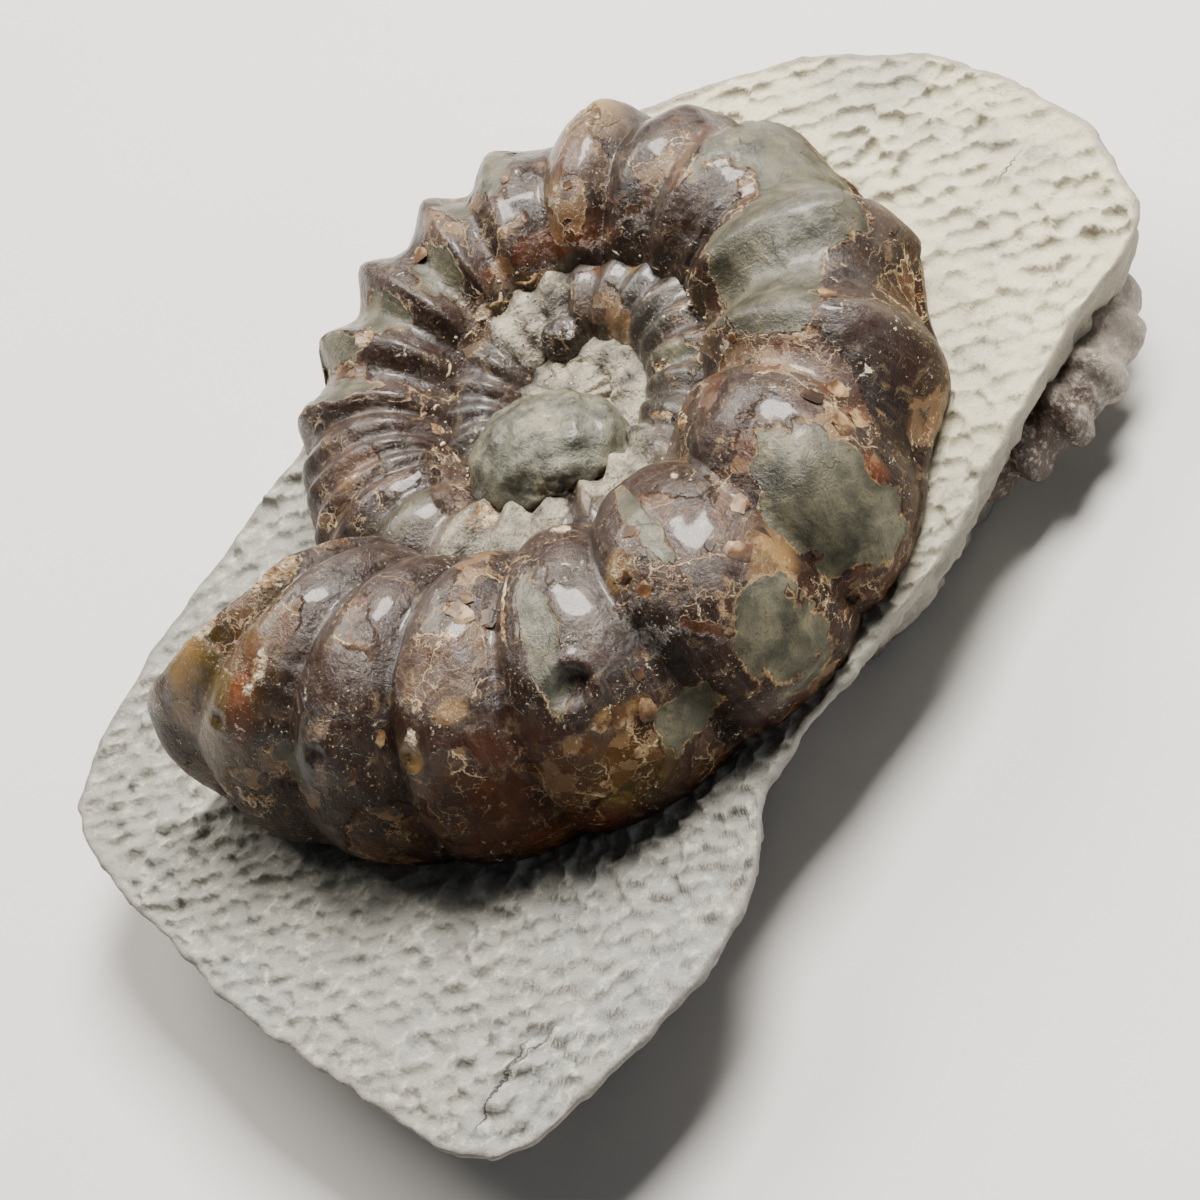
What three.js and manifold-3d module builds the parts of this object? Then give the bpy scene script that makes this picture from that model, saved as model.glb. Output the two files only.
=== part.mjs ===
// Fossil ammonite with strong ribs, lying on the piece of limestone it was found in.
// Lengths are in millimetres and +Z is up. The stone rests on its flat underside at z = 0.
import * as THREE from 'three';
import { mergeVertices } from 'three/addons/utils/BufferGeometryUtils.js';
import Module from 'manifold-3d';

const wasm = await Module();
wasm.setup();

const FULL_TURN = 360;
const HALF_TURN = 180;
const QUARTER_TURN = 90;

// Clearance kept between pieces that touch in the real specimen
const GAP = 0.3;
// Bodies smaller than this, in cubic millimetres, are crumbs of a cut
const CRUMB_VOLUME = 2;

// Stone
const STONE_THICKNESS = 14;
const STONE_SECTORS = 66;
const STONE_HUB = [-6, -6];
// Upper rim of the stone, counter-clockwise, measured from the axis of the coil
const STONE_RIM = [
  [42.5, -10.6], [41.5, -2.6], [37.1, 7.6], [31.1, 14.7], [25.5, 20.6], [16, 25.2],
  [4, 27], [-13.3, 26], [-25.4, 25.6], [-35, 25.2], [-44.1, 23.4], [-49.1, 21],
  [-51.4, 17.2], [-52.9, 6.2], [-53.8, -5.5], [-53.6, -16], [-52.6, -28.7], [-51, -33.4],
  [-48.2, -35.8], [-41.8, -37.5], [-31.5, -39.1], [-25.5, -38.6], [-21.6, -36.6],
  [-18.3, -34], [-12.2, -33.4], [-4.3, -34], [4.2, -34.2], [13.9, -32.7], [20.2, -31.8],
  [27.4, -30.6], [33, -31], [36.2, -30], [39, -25.5], [41.3, -20.9],
];
// Rings of the top face, as shares of the way from the hub to the rim
const TOP_RINGS = [0.2, 0.4, 0.55, 0.67, 0.77, 0.85, 0.91, 0.96];
// Side of the stone below the rim: drop from the top face and how far it is drawn in
const SIDE_PROFILE = [[0.7, -0.1], [2.4, 2], [5.2, 5], [8.6, 8.8], [12, 13.4], [14, 16]];
// Largest share of the way from the rim to the hub that the side is drawn in
const LARGEST_DRAW = 0.42;
// The side stands more upright along the edge between these bearings from the hub
const STEEP_FROM = -88;
const STEEP_TO = 150;
const STEEP_DRAW = 0.55;
const STEEP_BLEND = 16;
const TOP_RELIEF = 0.24;
const SIDE_RELIEF = 0.9;

// Coil: outer radius after each quarter turn back from the mouth
const COIL_RADIUS = [42.1, 33.7, 28.4, 24.7, 23.3, 19.2, 15.6, 13.1, 11.3, 9.3, 7.6, 6.2,
  5, 4, 3.2, 2.6, 2.1];
const MOUTH_BEARING = 168;
const EQUATOR_HEIGHT = 3.1;
const WHORL_HALF_HEIGHT = 0.3025;
const WHORL_FATNESS_AT_MOUTH = 1.18;
const WHORL_FATNESS_LOSS = 0.069;
const LOWER_SIDE_SHARE = 0.64;
const PORTION_TURN = 150;
const LOWER_STEPS = 4;
const OUTER_UPPER_STEPS = 11;
const INNER_UPPER_STEPS = 7;
// Ribs this far apart or this round get rings between crest and trough as well
const WIDE_SPACING = 20;
const ROUND_CREST = 1.7;
// Hollow in the broken mouth: depth in degrees of the coil and size as a share of the section
const MOUTH_HOLLOW = 2.6;
const MOUTH_HOLLOW_SIZE = 0.8;
// Crumbled filling over the innermost whorls, and the crystalline nodule at its edge
const FILLING_CENTRE = [1.2, 1.2, 2.4];
const FILLING_HALF_SIZES = [6.2, 6.2, 2.7];
const NODULE_CENTRE = [4.5, 4.8, 4.7];
const NODULE_RADIUS = 1.9;

// Ribs, from the mouth inwards: bearing of the crest in degrees back from the mouth, lean of
// the crest over a quarter of the section, height, roundness of the crest, hollowness of the
// space beside it and height of the spine
const RIBS = [
  { at: 0, lean: 0, height: 0.9, roundness: 1.6, hollowness: 1, spine: 0 },
  { at: 12, lean: 2, height: 1.3, roundness: 2, hollowness: 1, spine: 0.2 },
  { at: 28, lean: 0, height: 1.5, roundness: 2, hollowness: 1, spine: 0.3 },
  { at: 43, lean: 0, height: 1.7, roundness: 2.1, hollowness: 1, spine: 0.4 },
  { at: 61, lean: -1, height: 1.8, roundness: 2.1, hollowness: 1, spine: 0.3 },
  { at: 89, lean: -7, height: 2, roundness: 2.2, hollowness: 1, spine: 0.5 },
  { at: 106, lean: 7, height: 2.1, roundness: 2.2, hollowness: 1.1, spine: 0.5 },
  { at: 134, lean: 0, height: 2, roundness: 1.35, hollowness: 2, spine: 0.4 },
  { at: 158, lean: 0, height: 2, roundness: 1.35, hollowness: 2, spine: 0.5 },
  { at: 187, lean: -2, height: 1.4, roundness: 1.4, hollowness: 1.8, spine: 0.3 },
  { at: 203, lean: 0, height: 1, roundness: 1.5, hollowness: 1.5, spine: 0.2 },
  { at: 220, lean: 0, height: 2.5, roundness: 1.9, hollowness: 1.1, spine: 0.7 },
  { at: 246, lean: 0, height: 1.5, roundness: 1.3, hollowness: 1.7, spine: 0.6 },
  { at: 262, lean: 0, height: 1.5, roundness: 1.3, hollowness: 1.7, spine: 0.6 },
  { at: 281, lean: 0, height: 1.5, roundness: 1.3, hollowness: 1.7, spine: 0.6 },
  { at: 299, lean: 0, height: 1.4, roundness: 1.3, hollowness: 1.6, spine: 0.6 },
  { at: 318, lean: 0, height: 1.2, roundness: 1.4, hollowness: 1.5, spine: 0.5 },
  { at: 329, lean: 0, height: 0.6, roundness: 1.5, hollowness: 1.3, spine: 0.2 },
  { at: 337, lean: 0, height: 0.6, roundness: 1.5, hollowness: 1.3, spine: 0.2 },
  { at: 345, lean: 0, height: 0.6, roundness: 1.5, hollowness: 1.3, spine: 0.2 },
  { at: 353, lean: 0, height: 0.6, roundness: 1.5, hollowness: 1.3, spine: 0.1 },
  { at: 368, lean: 0, height: 0.9, roundness: 1.7, hollowness: 1.1, spine: 0.2 },
];

// Edge of the broken mouth: section angle, and degrees back from the mouth
const MOUTH_EDGE = [[0, -0.5], [32, -3.5], [60, 2], [90, 6.5], [180, 6.5]];
// Ribs of the inner whorls are even: spacing, height and spine as shares of the radius
const INNER_RIBS_FROM = 388;
const INNER_RIBS_TO = 1080;
const COIL_END = 1340;
const SMOOTH_SPACING = 36;
const INNER_RIB_SPACING = 14;
const INNER_RIB_WIDENING = 0.02;
const INNER_RIB_HEIGHT = 0.045;
const INNER_SPINE_HEIGHT = 0.04;
// Share of a rib's height that is taken off the smooth whorl under it
const RIB_SINK = 0.55;
const SPINE_ANGLE = 48;
const SPINE_SPREAD = 15;
const WALL_FADE_FROM = 118;
const WALL_FADE_TO = 165;

// Oval stone cast in the umbilicus
const CAST_CENTRE = [-5.3, -4.5, 7.8];
const CAST_HALF_SIZES = [6.8, 5.6, 4.8];
const CAST_BEARING = -49;
const CAST_ROUGHNESS = 0.25;

// Second, smaller ammonite that shows below the edge of the stone
const SECOND_CENTRE = [22.8, -24.8, -8];
const SECOND_RING_RADIUS = 5.6;
const SECOND_TUBE_RADIUS = 3;
const SECOND_TILT = -12;
const SECOND_RIB_COUNT = 14;
const SECOND_RIB_HEIGHT = 0.5;
const SECOND_LENGTHENING = 1.3;
const SECOND_STEPS_PER_RIB = 2;
const SECOND_SIDES = 10;

const radians = THREE.MathUtils.degToRad;
const clamp = THREE.MathUtils.clamp;

// Smooth repeatable unevenness between about -1 and 1
function unevenness(x, y, z) {
  const coarse = Math.sin(1.31 * x + 0.7 * y + 2.1) * Math.sin(0.93 * y - 0.51 * x + 1.7 * z);
  const fine = Math.sin(2.7 * x - 1.9 * y + 0.4) * Math.sin(2.3 * y + 1.1 * x - 0.8 * z + 1.3);
  return 0.62 * coarse + 0.38 * fine;
}

// Signed volume of a triangle mesh, positive when its faces look outwards
function signedVolume(positions, triangles) {
  let sum = 0;
  for (let t = 0; t < triangles.length; t += 3) {
    const corners = [0, 1, 2].map((k) => {
      const at = 3 * triangles[t + k];
      return new THREE.Vector3(positions[at], positions[at + 1], positions[at + 2]);
    });
    sum += corners[0].dot(corners[1].cross(corners[2]));
  }
  return sum / 6;
}

// Closed solid from rings of points that all have the same count, with a fan at either end
function solidFromRings(rings) {
  const sides = rings[0].length;
  const points = rings.flat();
  const triangles = [];
  for (let i = 0; i + 1 < rings.length; i += 1) {
    for (let j = 0; j < sides; j += 1) {
      const next = (j + 1) % sides;
      const a = i * sides + j;
      const b = i * sides + next;
      const c = (i + 1) * sides + next;
      const d = (i + 1) * sides + j;
      triangles.push(a, b, c, a, c, d);
    }
  }
  const ends = [[0, 1], [rings.length - 1, 0]];
  for (const [ring, flip] of ends) {
    const centre = new THREE.Vector3();
    rings[ring].forEach((p) => centre.add(p));
    centre.divideScalar(sides);
    points.push(centre);
    const hub = points.length - 1;
    for (let j = 0; j < sides; j += 1) {
      const here = ring * sides + j;
      const next = ring * sides + ((j + 1) % sides);
      if (flip) triangles.push(hub, next, here);
      else triangles.push(hub, here, next);
    }
  }
  const positions = new Float32Array(points.flatMap((p) => [p.x, p.y, p.z]));
  if (signedVolume(positions, triangles) < 0) {
    for (let t = 0; t < triangles.length; t += 3) {
      [triangles[t + 1], triangles[t + 2]] = [triangles[t + 2], triangles[t + 1]];
    }
  }
  const mesh = new wasm.Mesh({
    numProp: 3,
    vertProperties: positions,
    triVerts: new Uint32Array(triangles),
  });
  return new wasm.Manifold(mesh);
}

// Outer radius of the coil, with the quarter turns joined smoothly
function coilRadius(back) {
  const turns = clamp(back / QUARTER_TURN, 0, COIL_RADIUS.length - 1.001);
  const i = Math.floor(turns);
  const log = (k) => Math.log(COIL_RADIUS[clamp(k, 0, COIL_RADIUS.length - 1)]);
  const before = i === 0 ? 2 * log(0) - log(1) : log(i - 1);
  const t = turns - i;
  const slopeHere = (log(i + 1) - before) / 2;
  const slopeNext = (log(i + 2) - log(i)) / 2;
  const cube = t * t * t;
  const square = t * t;
  const value = (2 * cube - 3 * square + 1) * log(i) + (cube - 2 * square + t) * slopeHere
    + (3 * square - 2 * cube) * log(i + 1) + (cube - square) * slopeNext;
  return Math.exp(value);
}

function mouthEdge(angle) {
  const at = clamp(angle, 0, HALF_TURN);
  const k = MOUTH_EDGE.findIndex(([upTo]) => upTo >= at);
  if (k === 0) return MOUTH_EDGE[0][1];
  const [[from, first], [to, last]] = MOUTH_EDGE.slice(k - 1, k + 1);
  return THREE.MathUtils.mapLinear(at, from, to, first, last);
}

function ribList() {
  const ribs = RIBS.map((rib) => ({ ...rib }));
  let at = INNER_RIBS_FROM;
  while (at < INNER_RIBS_TO) {
    const radius = coilRadius(at);
    const height = INNER_RIB_HEIGHT * radius;
    const spine = INNER_SPINE_HEIGHT * radius;
    ribs.push({ at, lean: 0, height, roundness: 1.4, hollowness: 1.6, spine });
    at += INNER_RIB_SPACING + INNER_RIB_WIDENING * (at - INNER_RIBS_FROM);
  }
  while (at < COIL_END) {
    ribs.push({ at, lean: 0, height: 0, roundness: 1, hollowness: 1, spine: 0 });
    at += SMOOTH_SPACING;
  }
  return ribs;
}

// Point of the coil surface. The section angle runs from the outer edge (0) over the top
// (90) to the inner wall; the place is a rib number with a share of the way to the next.
function coilPoint(ribs, place, angle, grow) {
  const i = Math.min(Math.floor(place), ribs.length - 2);
  const share = place - i;
  const lean = clamp(angle, 0, QUARTER_TURN) / QUARTER_TURN;
  const crest = (rib) => (rib === ribs[0] ? mouthEdge(angle) : rib.at + rib.lean * lean);
  let back = THREE.MathUtils.lerp(crest(ribs[i]), crest(ribs[i + 1]), share);
  const radius = coilRadius(back);
  if (place === 0) back -= THREE.MathUtils.radToDeg(grow / radius);
  const half = WHORL_HALF_HEIGHT * radius;
  const fatness = WHORL_FATNESS_AT_MOUTH - WHORL_FATNESS_LOSS * (back / FULL_TURN);
  const side = angle < 0 || angle > HALF_TURN ? LOWER_SIDE_SHARE : 1;
  const thick = half * fatness * side;

  const nearest = share < 0.5 ? ribs[i] : ribs[i + 1];
  const away = share < 0.5 ? 2 * share : 2 - 2 * share;
  const crestShape = (1 - away ** nearest.roundness) ** nearest.hollowness;
  const fade = 1 - THREE.MathUtils.smoothstep(angle, WALL_FADE_FROM, WALL_FADE_TO);
  const upper = side === 1 ? 1 : 0.5;
  const spine = nearest.spine * Math.exp(-(((angle - SPINE_ANGLE) / SPINE_SPREAD) ** 2));
  const lift = fade * upper * (nearest.height * (crestShape - RIB_SINK)
    + spine * Math.max(0, 1 - 1.6 * away)) + grow;

  const turn = radians(angle);
  const normal = new THREE.Vector2(Math.cos(turn) * thick, Math.sin(turn) * half).normalize();
  const out = radius - half + half * Math.cos(turn) + lift * normal.x;
  const up = EQUATOR_HEIGHT + thick * Math.sin(turn) + lift * normal.y;
  const bearing = radians(MOUTH_BEARING + back);
  return new THREE.Vector3(out * Math.cos(bearing), out * Math.sin(bearing), up);
}

// Angles of the section: close together on the upper side, wider apart in the stone
function sectionAngles(upperSteps, lowerSteps) {
  const angles = [];
  for (let k = 0; k <= upperSteps; k += 1) angles.push((HALF_TURN * k) / upperSteps);
  for (let k = 1; k < lowerSteps; k += 1) angles.push(-HALF_TURN + (HALF_TURN * k) / lowerSteps);
  return angles;
}

// Floor of the hollow in the mouth: the first section drawn together and set back
function mouthHollow(ribs, angles) {
  const section = angles.map((angle) => coilPoint(ribs, 0, angle, 0));
  const centre = new THREE.Vector3();
  section.forEach((point) => centre.add(point));
  centre.divideScalar(section.length);
  const back = new THREE.Matrix4().makeRotationZ(radians(MOUTH_HOLLOW));
  return section.map((point) => point.lerp(centre, 1 - MOUTH_HOLLOW_SIZE).applyMatrix4(back));
}

function coilSolid(grow) {
  const ribs = ribList();
  const portions = [];
  let first = 0;
  while (first < ribs.length - 1) {
    let last = first + 1;
    while (last < ribs.length - 1 && ribs[last].at < ribs[first].at + PORTION_TURN) last += 1;
    const outer = ribs[first].at < FULL_TURN;
    const angles = sectionAngles(outer ? OUTER_UPPER_STEPS : INNER_UPPER_STEPS, LOWER_STEPS);
    const rings = [];
    if (first === 0 && grow === 0) rings.push(mouthHollow(ribs, angles));
    for (let rib = first; rib < last; rib += 1) {
      const spacing = ribs[rib + 1].at - ribs[rib].at;
      const round = Math.max(ribs[rib].roundness, ribs[rib + 1].roundness) > ROUND_CREST;
      const steps = outer && (spacing > WIDE_SPACING || round) ? 4 : 2;
      for (let step = 0; step < steps; step += 1) {
        rings.push(angles.map((angle) => coilPoint(ribs, rib + step / steps, angle, grow)));
      }
    }
    rings.push(angles.map((angle) => coilPoint(ribs, last, angle, grow)));
    portions.push(solidFromRings(rings));
    first = last;
  }
  const filling = wasm.Manifold.sphere(1, 20)
    .scale(FILLING_HALF_SIZES.map((half) => half + grow))
    .translate(FILLING_CENTRE);
  const nodule = wasm.Manifold.sphere(NODULE_RADIUS + grow, 12).translate(NODULE_CENTRE);
  return portions.reduce((whole, portion) => whole.add(portion), filling.add(nodule));
}

// Distance from the hub to the rim of the stone at a bearing in radians
function rimDistance(bearing) {
  const dx = Math.cos(bearing);
  const dy = Math.sin(bearing);
  for (let k = 0; k < STONE_RIM.length; k += 1) {
    const [ax, ay] = STONE_RIM[k].map((value, n) => value - STONE_HUB[n]);
    const [bx, by] = STONE_RIM[(k + 1) % STONE_RIM.length].map((v, n) => v - STONE_HUB[n]);
    const det = dx * (ay - by) - dy * (ax - bx);
    const reach = (ax * (ay - by) - ay * (ax - bx)) / det;
    const along = (dx * ay - dy * ax) / det;
    if (reach > 0 && along >= 0 && along <= 1) return reach;
  }
  return 0;
}

// How upright the side of the stone is at a bearing: 1 is drawn in most
function drawAt(bearing) {
  const degrees = THREE.MathUtils.radToDeg(Math.atan2(Math.sin(bearing), Math.cos(bearing)));
  const rise = THREE.MathUtils.smoothstep(degrees, STEEP_FROM - STEEP_BLEND, STEEP_FROM + STEEP_BLEND);
  const fall = THREE.MathUtils.smoothstep(degrees, STEEP_TO - STEEP_BLEND, STEEP_TO + STEEP_BLEND);
  return 1 - (1 - STEEP_DRAW) * rise * (1 - fall);
}

function stoneSolid() {
  const rings = [];
  const ring = (makePoint) => {
    const points = [];
    for (let k = 0; k < STONE_SECTORS; k += 1) {
      const bearing = (2 * Math.PI * k) / STONE_SECTORS;
      points.push(makePoint(bearing, rimDistance(bearing)));
    }
    rings.push(points);
  };
  const place = (bearing, reach, height) => new THREE.Vector3(
    STONE_HUB[0] + reach * Math.cos(bearing),
    STONE_HUB[1] + reach * Math.sin(bearing),
    height,
  );
  for (const share of TOP_RINGS) {
    ring((bearing, rim) => {
      const point = place(bearing, share * rim, 0);
      point.z = TOP_RELIEF * unevenness(point.x, point.y, 0);
      return point;
    });
  }
  ring((bearing, rim) => place(bearing, rim, -0.15));
  for (const [drop, inset] of SIDE_PROFILE) {
    ring((bearing, rim) => {
      const deepest = LARGEST_DRAW * rim * (drop / STONE_THICKNESS);
      const drawn = inset > 0 ? Math.min(inset * drawAt(bearing), deepest) : inset;
      const point = place(bearing, rim - drawn, -drop);
      const share = Math.min(1, drop / 3) * (drop < STONE_THICKNESS ? 1 : 0.6);
      const bump = SIDE_RELIEF * share * unevenness(0.6 * point.x, 0.6 * point.y, point.z);
      return place(bearing, rim - drawn + bump, -drop);
    });
  }
  return solidFromRings(rings);
}

function castSolid(grow) {
  const rough = (direction) => 1 + (CAST_ROUGHNESS / CAST_HALF_SIZES[1])
    * unevenness(5 * direction.x, 5 * direction.y, 5 * direction.z);
  const geometry = mergeVertices(new THREE.IcosahedronGeometry(1, 3).deleteAttribute('normal')
    .deleteAttribute('uv'), 1e-5);
  const position = geometry.getAttribute('position');
  const point = new THREE.Vector3();
  const up = new THREE.Vector3(0, 0, 1);
  for (let k = 0; k < position.count; k += 1) {
    point.fromBufferAttribute(position, k);
    const scale = rough(point);
    point.set(
      point.x * (CAST_HALF_SIZES[0] * scale + grow),
      point.y * (CAST_HALF_SIZES[1] * scale + grow),
      point.z * (CAST_HALF_SIZES[2] * scale + grow),
    );
    point.applyAxisAngle(up, radians(CAST_BEARING));
    position.setXYZ(k, point.x + CAST_CENTRE[0], point.y + CAST_CENTRE[1], point.z + CAST_CENTRE[2]);
  }
  return new wasm.Manifold(new wasm.Mesh({
    numProp: 3,
    vertProperties: new Float32Array(position.array),
    triVerts: new Uint32Array(geometry.index.array),
  }));
}

// Closed ring of a ribbed whorl; the stone hides the half of it that is not seen
function secondSolid(grow) {
  const steps = SECOND_RIB_COUNT * SECOND_STEPS_PER_RIB;
  const positions = [];
  const triangles = [];
  const tilt = new THREE.Matrix4().makeRotationX(radians(SECOND_TILT));
  for (let i = 0; i < steps; i += 1) {
    const turn = (2 * Math.PI * i) / steps;
    const wave = 0.5 + 0.5 * Math.cos(SECOND_RIB_COUNT * turn);
    for (let j = 0; j < SECOND_SIDES; j += 1) {
      const angle = (2 * Math.PI * j) / SECOND_SIDES;
      const tube = SECOND_TUBE_RADIUS + SECOND_RIB_HEIGHT * (wave - 0.5) + grow;
      const out = SECOND_RING_RADIUS + tube * Math.cos(angle);
      const point = new THREE.Vector3(
        SECOND_LENGTHENING * out * Math.cos(turn),
        out * Math.sin(turn),
        tube * Math.sin(angle),
      ).applyMatrix4(tilt);
      positions.push(
        point.x + SECOND_CENTRE[0],
        point.y + SECOND_CENTRE[1],
        point.z + SECOND_CENTRE[2],
      );
      const nextTurn = ((i + 1) % steps) * SECOND_SIDES;
      const nextSide = (j + 1) % SECOND_SIDES;
      const a = i * SECOND_SIDES + j;
      const b = nextTurn + j;
      const c = nextTurn + nextSide;
      const d = i * SECOND_SIDES + nextSide;
      triangles.push(a, b, c, a, c, d);
    }
  }
  return new wasm.Manifold(new wasm.Mesh({
    numProp: 3,
    vertProperties: new Float32Array(positions),
    triVerts: new Uint32Array(triangles),
  }));
}

// The largest body of a cut solid, without the crumbs beside it
function mainBody(solid) {
  const bodies = solid.decompose().sort((a, b) => b.volume() - a.volume());
  bodies.slice(1).forEach((body) => {
    if (body.volume() > CRUMB_VOLUME) throw new Error(`loose body of ${body.volume()} mm3`);
  });
  return bodies[0];
}

function geometryOf(solid) {
  const mesh = solid.getMesh();
  const geometry = new THREE.BufferGeometry();
  const positions = new Float32Array(mesh.numVert * 3);
  for (let k = 0; k < mesh.numVert; k += 1) {
    for (let n = 0; n < 3; n += 1) {
      positions[3 * k + n] = mesh.vertProperties[mesh.numProp * k + n];
    }
  }
  geometry.setAttribute('position', new THREE.BufferAttribute(positions, 3));
  geometry.setIndex(Array.from(mesh.triVerts));
  return mergeVertices(geometry, 1e-4);
}

function piece(name, solid, colour, roughness) {
  const material = new THREE.MeshStandardMaterial({
    color: colour,
    roughness,
    metalness: 0,
    flatShading: true,
  });
  material.name = name;
  const mesh = new THREE.Mesh(geometryOf(solid), material);
  mesh.name = name;
  return mesh;
}

const coil = coilSolid(0);
const pocket = coilSolid(GAP);
const secondPocket = secondSolid(GAP);
const second = secondSolid(0);
const wholeStone = stoneSolid();

const ammonite = mainBody(coil.subtract(castSolid(GAP)));
const cast = castSolid(0);
const stone = mainBody(wholeStone.subtract(pocket).subtract(secondPocket));

const group = new THREE.Group();
group.name = 'fossil_ammonite';
group.add(piece('matrix_stone', stone, '#b9b9b4', 0.95));
group.add(piece('ammonite', ammonite, '#6b4f44', 0.35));
group.add(piece('umbilicus_cast', cast, '#8c9084', 0.8));
group.add(piece('second_ammonite', second, '#7d6f60', 0.7));

// The frame has its origin in the middle of the underside
const bounds = new THREE.Box3();
group.children.forEach((mesh) => {
  mesh.geometry.computeBoundingBox();
  bounds.union(mesh.geometry.boundingBox);
});
const middle = bounds.getCenter(new THREE.Vector3());
group.children.forEach((mesh) => {
  mesh.geometry.translate(-middle.x, -middle.y, -bounds.min.z);
  mesh.geometry.computeVertexNormals();
});

export default group;
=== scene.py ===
"""Fossil ammonite on its matrix stone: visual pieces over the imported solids.

Lengths are millimetres, and every mesh is scaled to Blender's metres when it is made. A place on
the coil is given by how far it lies back from the mouth (degrees along the spiral) and how far
round the section (degrees: 0 outer edge, 90 top of the flank, 180 inner wall).
"""

import math
from functools import partial

import bmesh
import bpy
import numpy as np
from mathutils import Matrix, Vector, noise


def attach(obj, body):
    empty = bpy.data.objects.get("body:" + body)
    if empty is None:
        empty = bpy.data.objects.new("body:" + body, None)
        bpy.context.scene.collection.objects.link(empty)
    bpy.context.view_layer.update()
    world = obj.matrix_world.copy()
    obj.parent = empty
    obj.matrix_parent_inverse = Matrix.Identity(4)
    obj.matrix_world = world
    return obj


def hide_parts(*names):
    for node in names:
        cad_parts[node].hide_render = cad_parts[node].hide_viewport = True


bl_info = {
    "name": "Ammonite on matrix stone",
    "version": (1, 0, 0),
    "blender": (4, 5, 0),
    "location": "3D View > Sidebar > Ammonite",
    "description": "Builds a ribbed fossil shell in its prepared limestone",
    "category": "Add Mesh",
}

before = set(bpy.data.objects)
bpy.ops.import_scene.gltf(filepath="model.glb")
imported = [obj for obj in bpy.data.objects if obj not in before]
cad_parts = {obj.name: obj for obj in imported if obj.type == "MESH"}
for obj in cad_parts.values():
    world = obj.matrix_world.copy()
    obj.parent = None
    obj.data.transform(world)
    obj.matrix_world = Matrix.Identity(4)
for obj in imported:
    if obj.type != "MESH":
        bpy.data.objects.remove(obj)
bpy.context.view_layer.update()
MM = 0.001

# Place of the coil's axis and of the stone's top face in the frame
COIL_AXIS = (5.632, 5.997)
STONE_TOP = 14.0

# Coil: outer radius after each quarter turn back from the mouth
COIL_RADIUS = (42.1, 33.7, 28.4, 24.7, 23.3, 19.2, 15.6, 13.1, 11.3, 9.3, 7.6, 6.2, 5.0, 4.0,
               3.2, 2.6, 2.1)
MOUTH_BEARING = 168.0
COIL_END = 1330.0
EQUATOR_HEIGHT = 3.1
WHORL_HALF_HEIGHT = 0.3025
WHORL_FATNESS_AT_MOUTH = 1.18
WHORL_FATNESS_LOSS = 0.069
LOWER_SIDE_SHARE = 0.64
RIB_SINK = 0.55
SPINE_ANGLE = 48.0
SPINE_SPREAD = 15.0
WALL_FADE = (118.0, 165.0)

# Ribs from the mouth inwards: place, lean over a quarter of the section, height, roundness of
# the crest, hollowness of the space beside it, height of the spine
RIBS = (
    (0, 0, 0.9, 1.6, 1, 0),
    (12, 2, 1.3, 2, 1, 0.2),
    (28, 0, 1.5, 2, 1, 0.3),
    (43, 0, 1.7, 2.1, 1, 0.4),
    (61, -1, 1.8, 2.1, 1, 0.3),
    (89, -7, 2, 2.2, 1, 0.5),
    (106, 7, 2.1, 2.2, 1.1, 0.5),
    (134, 0, 2, 1.35, 2, 0.4),
    (158, 0, 2, 1.35, 2, 0.5),
    (187, -2, 1.4, 1.4, 1.8, 0.3),
    (203, 0, 1, 1.5, 1.5, 0.2),
    (220, 0, 2.5, 1.9, 1.1, 0.7),
    (246, 0, 1.5, 1.3, 1.7, 0.6),
    (262, 0, 1.5, 1.3, 1.7, 0.6),
    (281, 0, 1.5, 1.3, 1.7, 0.6),
    (299, 0, 1.4, 1.3, 1.6, 0.6),
    (318, 0, 1.2, 1.4, 1.5, 0.5),
    (329, 0, 0.6, 1.5, 1.3, 0.2),
    (337, 0, 0.6, 1.5, 1.3, 0.2),
    (345, 0, 0.6, 1.5, 1.3, 0.2),
    (353, 0, 0.6, 1.5, 1.3, 0.1),
    (368, 0, 0.9, 1.7, 1.1, 0.2),
)
# Edge of the broken mouth: section angles, and degrees back from the mouth
MOUTH_EDGE = ((0, 32, 60, 90, 180), (-0.5, -3.5, 2, 6.5, 6.5))
INNER_RIBS_FROM = 388.0
INNER_RIB_SPACING = 14.0
INNER_RIB_WIDENING = 0.02
INNER_RIB_HEIGHT = 0.045
INNER_SPINE_HEIGHT = 0.04
MOUTH_HOLLOW = 2.6
MOUTH_HOLLOW_SIZE = 0.8
# Crumbled filling over the innermost whorls, and the crystalline nodule at its edge
FILLING_CENTRE = (1.2, 1.2, 2.4)
FILLING_HALF_SIZES = (6.2, 6.2, 2.7)
NODULE_CENTRE = (4.4, 4.3, 5.2)
NODULE_RADIUS = 2.0

# Upper rim of the stone, counter-clockwise, measured from the coil's axis
STONE_HUB = (-6.0, -6.0)
STONE_RIM = (
    (42.5, -10.6), (41.5, -2.6), (37.1, 7.6), (31.1, 14.7), (25.5, 20.6), (16, 25.2),
    (4, 27), (-13.3, 26), (-25.4, 25.6), (-35, 25.2), (-44.1, 23.4), (-49.1, 21),
    (-51.4, 17.2), (-52.9, 6.2), (-53.8, -5.5), (-53.6, -16), (-52.6, -28.7), (-51, -33.4),
    (-48.2, -35.8), (-41.8, -37.5), (-31.5, -39.1), (-25.5, -38.6), (-21.6, -36.6),
    (-18.3, -34), (-12.2, -33.4), (-4.3, -34), (4.2, -34.2), (13.9, -32.7), (20.2, -31.8),
    (27.4, -30.6), (33, -31), (36.2, -30), (39, -25.5), (41.3, -20.9),
)
SIDE_PROFILE = ((0.0, 0.0), (0.7, -0.1), (2.4, 2.0), (5.2, 5.0), (8.6, 8.8), (12.0, 13.4),
                (14.0, 16.0))
LARGEST_DRAW = 0.42
STEEP_FROM = -88.0
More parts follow.
